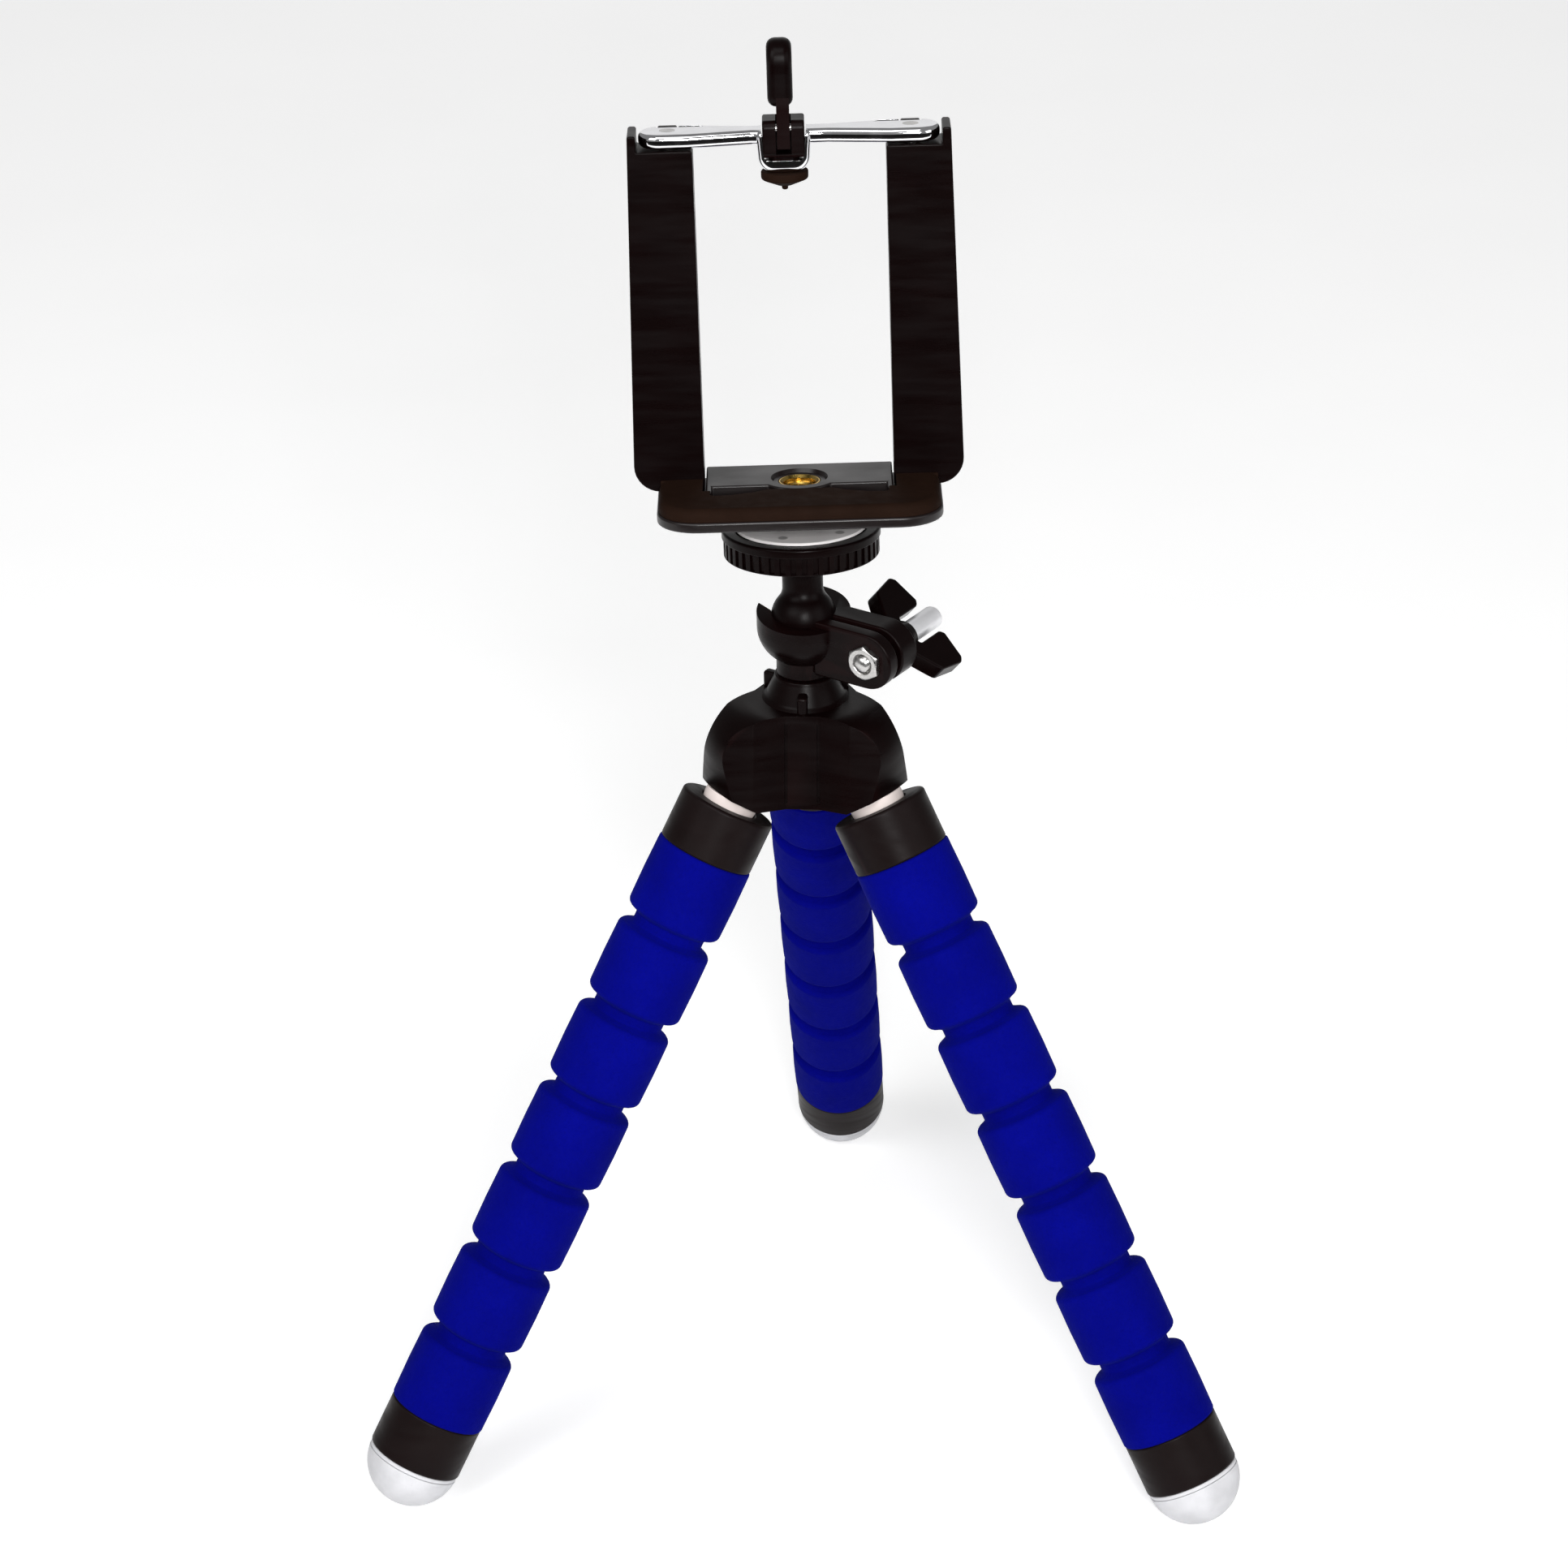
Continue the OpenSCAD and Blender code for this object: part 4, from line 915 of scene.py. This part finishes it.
class TRIPOD_OT_platform(bpy.types.Operator):
    """Models the ball with its stem, the ribbed disc, its dotted pad and the camera screw"""

    bl_idname = "tripod.platform"
    bl_label = "Ball and Disc"

    def execute(self, context):
        s = context.scene.tripod_head
        clip = clip_place()
        blend_r = 3.2 * MM
        centre_r = s.stem_r + blend_r
        centre_z = math.sqrt((s.ball_r + blend_r) ** 2 - centre_r ** 2)
        meet = math.degrees(math.atan2(centre_z, centre_r))
        ball = arc((0, 0), s.ball_r, -90, meet, 32)
        throat = arc((centre_r, centre_z), blend_r, 180 + meet, 180, 8)
        crown = rounded(
            [(s.stem_r, centre_z, 0), (s.stem_r, s.stem_top, 0.3 * MM), (0, s.stem_top, 0)], closed=False)
        post = settle(turned("ball_post", ball + throat[1:] + crown[1:], 80), clip)
        dress(smooth(post), finish("black"), "black_plastic", "ball", "ball_stem")
        low = s.stem_top + s.gap
        high = low + s.disc_t
        self.disc(s, clip, low, high)
        pad = lathe("pad_ring", [
            (3.4 * MM, high, 0), (12.5 * MM, high, 0), (12.5 * MM, high + 0.5 * MM, 0.25 * MM),
            (3.4 * MM, high + 0.5 * MM, 0.2 * MM), (3.4 * MM, high, 0)], 96)
        finished(pad, clip, "dots", "pale_plastic", "platform", "disc_pad")
        self.stud(s, clip, high + 0.5 * MM)
        return {"FINISHED"}

    def disc(self, s, clip, low, high):
        """The disc: a smooth flange over a band of ribs, pressed in between the ribs."""
        ribs, steps = 44, 4
        band, flange = s.disc_r - 0.3 * MM, 1.8 * MM
        disc = lathe("ribbed_disc", [
            (3.15 * MM, low, 0), (band, low, 0.3 * MM), (band, high - flange, 0),
            (s.disc_r, high - flange, 0.2 * MM), (s.disc_r, high, 0.5 * MM), (12.9 * MM, high, 0.15 * MM),
            (12.8 * MM, high - 0.3 * MM, 0), (3.15 * MM, high - 0.3 * MM, 0),
            (3.15 * MM, low, 0)], ribs * steps)
        edit(disc, "DESELECT")
        mesh = bmesh.from_edit_mesh(disc.data)
        for face in mesh.faces:
            middle = face.calc_center_median()
            around = math.degrees(math.atan2(middle.y, middle.x)) % 360
            on_band = middle.xy.length > band - 0.1 * MM and low + 0.3 * MM < middle.z < high - flange
            face.select = on_band and int(around / 360 * ribs * steps) % steps < 2
        bmesh.update_edit_mesh(disc.data)
        bpy.ops.mesh.extrude_region_shrink_fatten(TRANSFORM_OT_shrink_fatten={"value": -0.5 * MM})
        bpy.ops.object.mode_set(mode="OBJECT")
        soften(disc, 0.12 * MM, 2, 50)
        finished(disc, clip, "black", "black_plastic", "platform", "disc")

    def stud(self, s, clip, pad_top):
        """The camera screw: a threaded end with a chamfer, and a root in the stem."""
        low, high, radius, pitch = s.stem_top, pad_top + 5.6 * MM, 3.1 * MM, 1.27 * MM
        line = [(0, low - 7 * MM), (2 * MM, low - 7 * MM), (2 * MM, low + 0.05 * MM),
                (radius, low + 0.05 * MM), (radius, pad_top)]
        for k in range(4):
            z = pad_top + 0.3 * MM + k * pitch
            line += [(radius - 0.5 * MM, z + pitch / 2), (radius, z + pitch - 0.1 * MM),
                     (radius, z + pitch)]
        line += [(radius - 0.7 * MM, high), (0, high)]
        stud = settle(turned("camera_stud", line, 56), clip)
        dress(smooth(stud, 30), finish("steel"), "steel", "ball", "camera_screw")


class TRIPOD_OT_tray(bpy.types.Operator):
    """Models the tray with its raised plate, the rubber pad, the brass insert and the screws below"""

    bl_idname = "tripod.tray"
    bl_label = "Tray"

    def outline(self, s, inset, rear):
        half, front, corner, rear_r = s.half_w - inset, s.front - inset, 8 * MM - inset, 0.8 * MM
        return rounded([(-half, rear, rear_r), (-half, -front, corner), (half, -front, corner),
                        (half, rear, rear_r)], steps=10)

    def execute(self, context):
        s = context.scene.tripod_clip
        clip = clip_place()
        gap = 0.3 * MM
        tray = soften(prism("clip_tray", self.outline(s, 0, s.back), s.tray_low, s.floor_top), 0.45 * MM)
        join(tray, self.plate(s, gap))
        join(tray, soften(rod("boss", 5.3 * MM, 19.2 * MM, s.tray_low + MM, 64), 0.3 * MM))
        bed, rim = s.plate_top - 0.7 * MM, 5.4 * MM
        recess = turned("recess", [
            (0, bed), (4.9 * MM, bed), (rim, s.plate_top + 0.01 * MM), (rim, s.plate_top + MM),
            (0, s.plate_top + MM)], 64)
        cut(tray, recess, rod("bush_room", 4.05 * MM, 18 * MM, 30 * MM, 64))
        screws = [(side * x, 4.2 * MM) for side in (-1, 1) for x in (20.3 * MM, 24.3 * MM)]
        for x, y in screws:
            sink = rod("sink", 1.75 * MM, s.tray_low - MM, s.tray_low + MM, 32)
            cut(tray, shifted(sink, x, y))
        finished(tray, clip, "tray", "tray_plastic", "clip", "tray")
        self.pad(s, clip, gap)
        self.bush(s, clip)
        self.screws(s, clip, screws)
        return {"FINISHED"}

    def plate(self, s, gap):
        """The raised plate: a round front under the insert, and a strip beside each arm."""
        half, front, radius, rear = s.arm_in - gap, 4.4 * MM, 7.3 * MM, s.back - 0.1 * MM
        lean = math.degrees(math.asin(front / radius))
        tip, inner = -7.5 * MM, half - 1.1 * MM
        outline = [(-half, rear), (-half, tip), (-inner, tip), (-inner, -front),
                   *arc((0, 0), radius, lean - 180, -lean, 16),
                   (inner, -front), (inner, tip), (half, tip), (half, rear)]
        return soften(prism("plate", outline, s.floor_top - 0.9 * MM, s.plate_top), 0.35 * MM, 3, 40)

    def pad(self, s, clip, gap):
        """The rubber pad round the plate's front, with a soft crowned edge and two slots at the plate."""
        inset, top, back = 0.4 * MM, s.floor_top + 2.4 * MM, 7.7 * MM
        pad = prism("grip_pad", self.outline(s, inset, -gap), s.floor_top, top)
        cut(pad, block("room", (-s.arm_in - gap, -back, 0), (s.arm_in + gap, 30 * MM, 60 * MM)),
            rod("front_room", 7.6 * MM, 0, 60 * MM, 72))
        for side in (-1, 1):
            slot = [(6, -7.6, 0), (16.8, -7.6, 0), (16.8, -10.8, 1), (13, -10.6, 2), (8.5, -9.2, 2)]
            corners = [(side * x * MM, y * MM, r * MM) for x, y, r in slot]
            cut(pad, prism("slot", rounded(corners[::side]), 0, 60 * MM))
        edit(pad, "DESELECT")
        bpy.ops.mesh.select_mode(type="EDGE")
        mesh = bmesh.from_edit_mesh(pad.data)
        for edge in mesh.edges:
            x, y, z = (edge.verts[0].co + edge.verts[1].co) / 2
            inside = abs(x) < s.arm_in + 2 * gap and y > -11.5 * MM
            on_top = z > top - 0.01 * MM and edge.calc_face_angle(0) > 1
            edge.select = on_top and y < -2 * gap and not inside
        bmesh.update_edit_mesh(pad.data)
        bpy.ops.mesh.bevel(offset=1.5 * MM, segments=5)
        bpy.ops.mesh.select_mode(type="VERT")
        bpy.ops.object.mode_set(mode="OBJECT")
        soften(pad, 0.45 * MM, 3, 50)
        finished(pad, clip, "pad", "brown_rubber", "clip", "tray_pad")

    def bush(self, s, clip):
        """The brass insert, with turns of thread in its bore."""
        low, high, pitch, bore = 19.2 * MM, s.plate_top - 0.7 * MM, 1.27 * MM, 3.16 * MM
        deep = bore + 0.5 * MM
        line = [(bore, low), (4 * MM, low), (4 * MM, high - 0.15 * MM), (3.85 * MM, high), (deep, high)]
        for k in range(int((high - low) / pitch)):
            z = high - 0.45 * MM - k * pitch
            line += [(bore, z), (bore, z - 0.15 * MM), (deep, z - pitch * 0.6)]
        line += [(bore, low)]
        bush = settle(turned("brass_bush", line, 64), clip)
        dress(smooth(bush, 30), finish("brass"), "brass", "clip", "thread_insert")

    def screws(self, s, clip, places):
        """Four pan heads with a cross, under the arms."""
        low, top = s.tray_low, s.floor_top + 5 * MM
        screw = lathe("screw", [
            (0, low, 0), (1.7 * MM, low, 0.4 * MM), (1.7 * MM, low + 0.95 * MM, 0),
            (MM, low + 0.95 * MM, 0), (MM, top - 0.8 * MM, 0), (0, top, 0)], 32)
        cut(screw, *cross(1.1 * MM, 0.2 * MM, low - MM, low + 0.55 * MM, 0.4))
        smooth(screw)
        copies = [settle(copied(screw, "tray_screws"), clip @ Matrix.Translation((x, y, 0)))
                  for x, y in places]
        bpy.data.objects.remove(screw)
        dress(merged(copies), finish("steel"), "steel", "clip", "arm_screws")


class TRIPOD_OT_arms(bpy.types.Operator):
    """Models the two arms with their channels, and the springs in them"""

    bl_idname = "tripod.arms"
    bl_label = "Arms"

    def arm(self, s):
        low_x, top_x, lip = s.arm_in + 13.3 * MM, s.arm_in + 12 * MM, 1.6 * MM
        bar_top = s.bar_low + s.bar_t
        outline = rounded([
            (s.arm_in, s.floor_top, 0.4 * MM), (low_x, s.floor_top, 5 * MM), (top_x, bar_top, 0.5 * MM),
            (top_x - lip, bar_top, 0.5 * MM), (top_x - lip, s.arm_top, 0.3 * MM),
            (s.arm_in, s.arm_top, 0.4 * MM)], steps=8)
        arm = upright(prism("clip_arm", outline, 0, s.arm_depth), s.arm_depth)
        soften(arm, 0.75 * MM, 4, 40)
        half_tab = 1.8 * MM
        tab = block("tab", (s.rod_x - half_tab, s.arm_depth - 1.6 * MM, s.arm_top - MM),
                    (s.rod_x + half_tab, s.arm_depth, bar_top))
        join(arm, soften(tab, 0.3 * MM, 2))
        axis = Matrix.Translation((s.rod_x, s.arm_depth / 2, 0))
        cut(arm, settle(rod("channel", 3.5 * MM, 31.8 * MM, 85.9 * MM), axis),
            settle(rod("guide", 1.55 * MM, 80 * MM, s.arm_top + MM), axis))
        return arm

    def execute(self, context):
        s = context.scene.tripod_clip
        clip = clip_place()
        arm = self.arm(s)
        twin = copied(arm, "clip_arm_left")
        arm.name = arm.data.name = "clip_arm_right"
        edit(settle(twin, Matrix.Scale(-1, 4, (1, 0, 0))))
        close_up()
        for piece, node in ((arm, "right_arm"), (twin, "left_arm")):
            finished(piece, clip, "black", "black_plastic", "clip", node)
        self.springs(s, clip)
        return {"FINISHED"}

    def springs(self, s, clip):
        """The two coils in the arms. The real coils flatten as the bracket is pulled up; these keep their
        shape.
        """
        foot, roof, wire, coil, turns = 37.3 * MM, 85.9 * MM, 0.4 * MM, 2.5 * MM, 14
        halves = []
        for side in (-1, 1):
            deselect()
            bpy.ops.mesh.primitive_circle_add(
                vertices=8, radius=wire, location=(coil, 0, foot + 2 * wire),
                rotation=(math.pi / 2, 0, 0))
            spring = named("spring_pair")
            bpy.ops.object.transform_apply()
            wind = spring.modifiers.new("wind", "SCREW")
            wind.axis, wind.angle, wind.iterations = "Z", 2 * math.pi, turns
            wind.screw_offset = (roof - foot - 4 * wire) / turns
            wind.steps = wind.render_steps = 20
            bpy.ops.object.modifier_apply(modifier=wind.name)
            edit(spring)
            bpy.ops.mesh.fill_holes(sides=8)
            close_up()
            settle(spring, clip @ Matrix.Translation((side * s.rod_x, s.arm_depth / 2, 0)))
            halves.append(smooth(spring, 60))
        pair = dress(merged(halves), finish("steel"), "steel", "clip", "return_springs")
        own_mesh(pair)


class TRIPOD_OT_bracket(bpy.types.Operator):
    """Models the bright bracket with its yoke, the block, the bumper and the flip finger"""

    bl_idname = "tripod.bracket"
    bl_label = "Bracket"

    PIN = (0, 2.2 * MM, 94.7 * MM)
    YOKE_X, YOKE_LOW = -1 * MM, 86.3 * MM
    SIDEWAYS = Matrix(((0, 0, 1, 0), (1, 0, 0, 0), (0, 1, 0, 0), (0, 0, 0, 1)))

    def pin_hole(self):
        """The cutter of the finger's pin."""
        place = Matrix.Translation(self.PIN) @ Matrix.Rotation(math.pi / 2, 4, "Y")
        return settle(rod("pin_hole", 0.75 * MM, -5 * MM, 5 * MM, 32), place)

    def bar(self, s):
        """The bracket's flat outline, narrow at the yoke, with round ends."""
        end, middle, half, flare, waist = 27.9 * MM, s.arm_depth / 2, 2.5 * MM, 18.7 * MM, 7.2 * MM
        near, far = middle - half, middle + half
        right = [(waist, near, 0), (flare, 0, 0), (end, 0, 4 * MM), (end, s.arm_depth, 4 * MM),
                 (flare, s.arm_depth, 0), (waist, far, 0)]
        left = [(-x, y, r) for x, y, r in reversed(right)]
        bar = prism("bright_bar", rounded(right + left, steps=9), s.bar_low, s.bar_low + s.bar_t)
        soften(bar, 1.1 * MM, 6, 40)
        for side in (-1, 1):
            x = side * s.rod_x
            slit = sorted((x - side * 2 * MM, x - side * 6.6 * MM))
            cut(bar, block("slit", (slit[0], s.arm_depth - 1.9 * MM, s.bar_low + s.bar_t - 0.9 * MM),
                           (slit[1], s.arm_depth - 1.1 * MM, s.bar_low + 4 * MM)))
            cut(bar, block("rear_notch", (x - 2.1 * MM, s.arm_depth - 1.9 * MM, s.bar_low - MM),
                           (x + 2.1 * MM, s.arm_depth + MM, s.bar_low + 4 * MM)),
                shifted(rod("rod_hole", 1.5 * MM, s.bar_low - MM, s.bar_low + 4 * MM), x, middle))
        return bar

    def trough(self, name, s, half, low, corner, depth):
        top = s.bar_low + s.bar_t
        taper = 0.6 * MM
        outline = rounded([(-half, top, 0), (-half + taper, low, corner), (half - taper, low, corner),
                           (half, top, 0)], steps=8)
        tub = upright(prism(name, outline, -depth / 2, depth / 2), s.arm_depth / 2)
        return shifted(tub, self.YOKE_X)

    def execute(self, context):
        s = context.scene.tripod_clip
        clip = clip_place()
        low = self.YOKE_LOW
        yoke = soften(self.trough("yoke", s, 5.2 * MM, low, 3 * MM, 6.4 * MM), 1.3 * MM, 6, 40)
        bar = join(self.bar(s), yoke)
        inner = self.trough("yoke_room", s, 4.2 * MM, low + 2.4 * MM, 0.8 * MM, 20 * MM)
        cut(bar, shifted(inner, z=0.01 * MM),
            block("yoke_mouth", (-5.2 * MM, -10 * MM, s.bar_low + s.bar_t - 0.01 * MM),
                  (3.2 * MM, 20 * MM, 120 * MM)))
        soften(bar, 0.2 * MM, 2, 40)
        finished(bar, clip, "chrome", "chrome", "bracket", "top_bracket")
        paint("slide_rods", finish("steel"))
        paint("pivot_pin", finish("steel"))
        yoke_place = clip @ Matrix.Translation((self.YOKE_X, 0, 0))
        self.clevis(s, yoke_place)
        self.bumper(s, clip)
        self.finger(yoke_place)
        return {"FINISHED"}

    def clevis(self, s, place):
        """The block in the yoke: two cheeks with a round front edge, and the finger's slot."""
        half, front, low, high, back = 3.9 * MM, 0.7 * MM, 89.2 * MM, 96.2 * MM, 7.7 * MM
        slot, half_slot = 6.2 * MM, 1.45 * MM
        outline = rounded([(front, low, 1.2 * MM), (back, low, 0.8 * MM), (back, high, 0.8 * MM),
                           (front, high, 1.5 * MM)], steps=8)
        cheeks = settle(prism("clevis", outline, -half, half), self.SIDEWAYS)
        soften(cheeks, 0.4 * MM, 3, 45)
        neck = rod("clevis_neck", 2.9 * MM, self.YOKE_LOW + 2.4 * MM, low + MM)
        join(cheeks, shifted(neck, y=s.arm_depth / 2))
        room = block("finger_slot", (-half_slot, -MM, high - slot), (half_slot, front + slot, high + MM))
        cut(cheeks, room, self.pin_hole())
        finished(cheeks, place, "black", "black_plastic", "bracket", "clevis_block")

    def bumper(self, s, clip):
        """The bumper: a short drum that narrows to a small nub."""
        corners = ((0, 3.2, 0), (2.15, 3.2, 0), (2.15, 0, 0), (4.4, 0, 0.3), (4.4, -1.5, 0.5),
                   (1.5, -2.75, 0.6), (0.62, -2.9, 0.3), (0.55, -3.7, 0.35), (0, -3.7, 0))
        bumper = lathe("press_pad", [(x * MM, y * MM, r * MM) for x, y, r in corners], 64)
        place = clip @ Matrix.Translation((self.YOKE_X, s.arm_depth / 2, self.YOKE_LOW))
        finished(bumper, place, "pad", "brown_rubber", "bracket", "bumper", angle=50)

    def finger(self, place):
        """The flip finger: a rounded paddle on a narrow stem that turns on the pin."""
        pin_z, low, top = self.PIN[2], 98.6 * MM, 111 * MM
        front, depth, thick, shift = 0.75 * MM, 8 * MM, 4.7 * MM, -0.4 * MM
        outline = rounded([(front, low, 2.2 * MM), (front + depth - 0.6 * MM, low, 2.4 * MM),
                           (front + depth, low + 5 * MM, 8 * MM), (front + depth, top, 3.9 * MM),
                           (front, top, 3.9 * MM)], steps=10)
        paddle = prism("flip_finger", outline, shift - thick / 2, shift + thick / 2)
        settle(paddle, self.SIDEWAYS)
        soften(paddle, 1.6 * MM, 5, 45)
        tail, tail_back, stem_back, root = 90.8 * MM, front + 1.9 * MM, front + 2.9 * MM, low + 2 * MM
        stem = rounded([(front, root, 0), (front, tail, 0.5 * MM), (tail_back, tail, 0.5 * MM),
                        (tail_back, pin_z - 1.5 * MM, 0.3 * MM), (stem_back, pin_z - 0.8 * MM, 0.8 * MM),
                        (stem_back, root, 0)])
        join(paddle, settle(prism("finger_stem", stem, -1.2 * MM, 1.2 * MM), self.SIDEWAYS))
        cut(paddle, self.pin_hole())
        finished(paddle, place, "black", "black_plastic", "finger", "finger")


class TRIPOD_OT_stage(bpy.types.Operator):
    """Makes the floor, the lights and the camera"""

    bl_idname = "tripod.stage"
    bl_label = "Stage"

    FLOOR, SENSOR = 30, 36
    # Place of the camera from the middle of the leg tops, and its directions
    EYE = Vector((0, -870.25, 444.84)) * MM
    RIGHT, UP = Vector((0.9998, -0.0042, -0.0181)), Vector((0.018, 0.4553, 0.8902))
    FLAG_NEAR, FLAG_FAR, FLAG_WIDE = -0.45, -14.95, 9
    # Name, place, height that it looks at, size and power of each lamp
    LAMPS = (
        ("key_light", (-0.75, -0.75, 1.05), 0.14, 0.8, "key"),
        ("fill_light", (0.95, -0.55, 0.6), 0.12, 0.7, "fill"),
        ("top_light", (-0.1, -0.5, 1.25), 0.15, 0.5, "fill"),
        ("front_light", (0.1, -1.1, 0.66), 0.16, 0.3, "front"),
        ("back_light", (0, 1.3, 0.62), 0.2, 0.9, "back"),
    )

    def execute(self, context):
        s = context.scene.tripod_stage
        self.camera(s)
        deselect()
        bpy.ops.mesh.primitive_plane_add(size=self.FLOOR)
        floor = bpy.context.object
        floor.name = "floor"
        floor.data.materials.append(self.floor_finish(s))
        for name, place, height, size, watts in self.LAMPS:
            self.lamp(name, place, Vector((0, 0, height)), size, getattr(s, watts))
        self.flag()
        self.room(context, s)
        context.scene.view_settings.view_transform = "Standard"
        return {"FINISHED"}

    def camera(self, s):
        bpy.ops.object.camera_add()
        camera = bpy.context.object
        camera.name = "camera"
        camera.matrix_world = axes_at(hub_place().translation + self.EYE, self.RIGHT.normalized(),
                                      self.RIGHT.cross(self.UP).normalized())
        camera.data.lens, camera.data.sensor_width = s.lens, self.SENSOR
        camera.data.clip_start, camera.data.clip_end = 0.05, 20
        bpy.context.scene.camera = camera

    def lamp(self, name, place, aim, size, power):
        bpy.ops.object.light_add(type="AREA", location=place)
        lamp = bpy.context.object
        lamp.name = name
        lamp.rotation_euler = (aim - Vector(place)).to_track_quat("-Z", "Y").to_euler()
        lamp.data.size, lamp.data.energy = size, power

    def flag(self):
        """A dark card in front, which only reflections see."""
        deselect()
        near, far = self.FLAG_NEAR, self.FLAG_FAR
        bpy.ops.mesh.primitive_plane_add(size=1, location=(0, (near + far) / 2, 2 * MM))
        card = bpy.context.object
        card.name, card.scale = "flag", (self.FLAG_WIDE, near - far, 1)
        card.visible_camera = card.visible_diffuse = False
        card.visible_shadow = card.visible_transmission = False
        f = Finish("dark_card", Roughness=0.9, Specular_IOR_Level=0.05)
        card.data.materials.append(f.into(
            Base_Color=f.colours(f.noise(6), (0.3, (0.012, 0.011, 0.011)), (0.7, (0.018, 0.017, 0.017)))))

    def floor_finish(self, s):
        """A pale matt floor with a faint grain."""
        f = Finish("pale_floor", Specular_IOR_Level=0.1, Roughness=0.9, Emission_Color=(1, 1, 1, 1))
        tone = f.colours(f.noise(14, 3), (0.3, shade(s.floor, 0.99)), (0.7, shade(s.floor, 1.01)))
        seen = f.nodes.new("ShaderNodeLightPath").outputs
        direct = f.sum(f.sum(seen["Is Camera Ray"], seen["Is Glossy Ray"]), seen["Is Transmission Ray"])
        return f.into(Base_Color=tone, Emission_Strength=f.spread(direct, 0, s.glow, 0, 1))

    def room(self, context, s):
        world = bpy.data.worlds.new("room")
        context.scene.world = world
        world.use_nodes = True
        background = world.node_tree.nodes["Background"]
        background.inputs["Color"].default_value = (1, 1, 1, 1)
        background.inputs["Strength"].default_value = s.room


OPERATORS = (
    TRIPOD_OT_stage, TRIPOD_OT_foam, TRIPOD_OT_leg_ends, TRIPOD_OT_hub, TRIPOD_OT_cup, TRIPOD_OT_knob,
    TRIPOD_OT_platform, TRIPOD_OT_tray, TRIPOD_OT_arms, TRIPOD_OT_bracket)
GROUPS = {
    "tripod_legs": TripodLegSizes,
    "tripod_head": TripodHeadSizes,
    "tripod_clip": TripodClipSizes,
    "tripod_finishes": TripodFinishes,
    "tripod_stage": TripodStage,
}


class TRIPOD_PT_pieces(bpy.types.Panel):
    """Lists the pieces and their sizes"""

    bl_idname = "TRIPOD_PT_pieces"
    bl_label = "Foam Leg Tripod"
    bl_space_type = "VIEW_3D"
    bl_region_type = "UI"
    bl_category = "Tripod"

    def draw(self, context):
        for operator in OPERATORS:
            self.layout.operator(operator.bl_idname)
        for name in GROUPS:
            group = getattr(context.scene, name)
            column = self.layout.column(heading=name)
            for size in group.bl_rna.properties.keys():
                if size not in ("rna_type", "name"):
                    column.prop(group, size)


def register():
    for group in GROUPS.values():
        bpy.utils.register_class(group)
    for name, group in GROUPS.items():
        setattr(bpy.types.Scene, name, PointerProperty(type=group))
    for operator in OPERATORS:
        bpy.utils.register_class(operator)
    bpy.utils.register_class(TRIPOD_PT_pieces)


def unregister():
    bpy.utils.unregister_class(TRIPOD_PT_pieces)
    for operator in reversed(OPERATORS):
        bpy.utils.unregister_class(operator)
    for name in GROUPS:
        delattr(bpy.types.Scene, name)
    for group in GROUPS.values():
        bpy.utils.unregister_class(group)


def main():
    register()
    bpy.ops.tripod.stage()
    bpy.ops.tripod.foam()
    bpy.ops.tripod.leg_ends()
    bpy.ops.tripod.hub()
    bpy.ops.tripod.cup()
    bpy.ops.tripod.knob()
    bpy.ops.tripod.platform()
    bpy.ops.tripod.tray()
    bpy.ops.tripod.arms()
    bpy.ops.tripod.bracket()


if __name__ == "__main__":
    main()
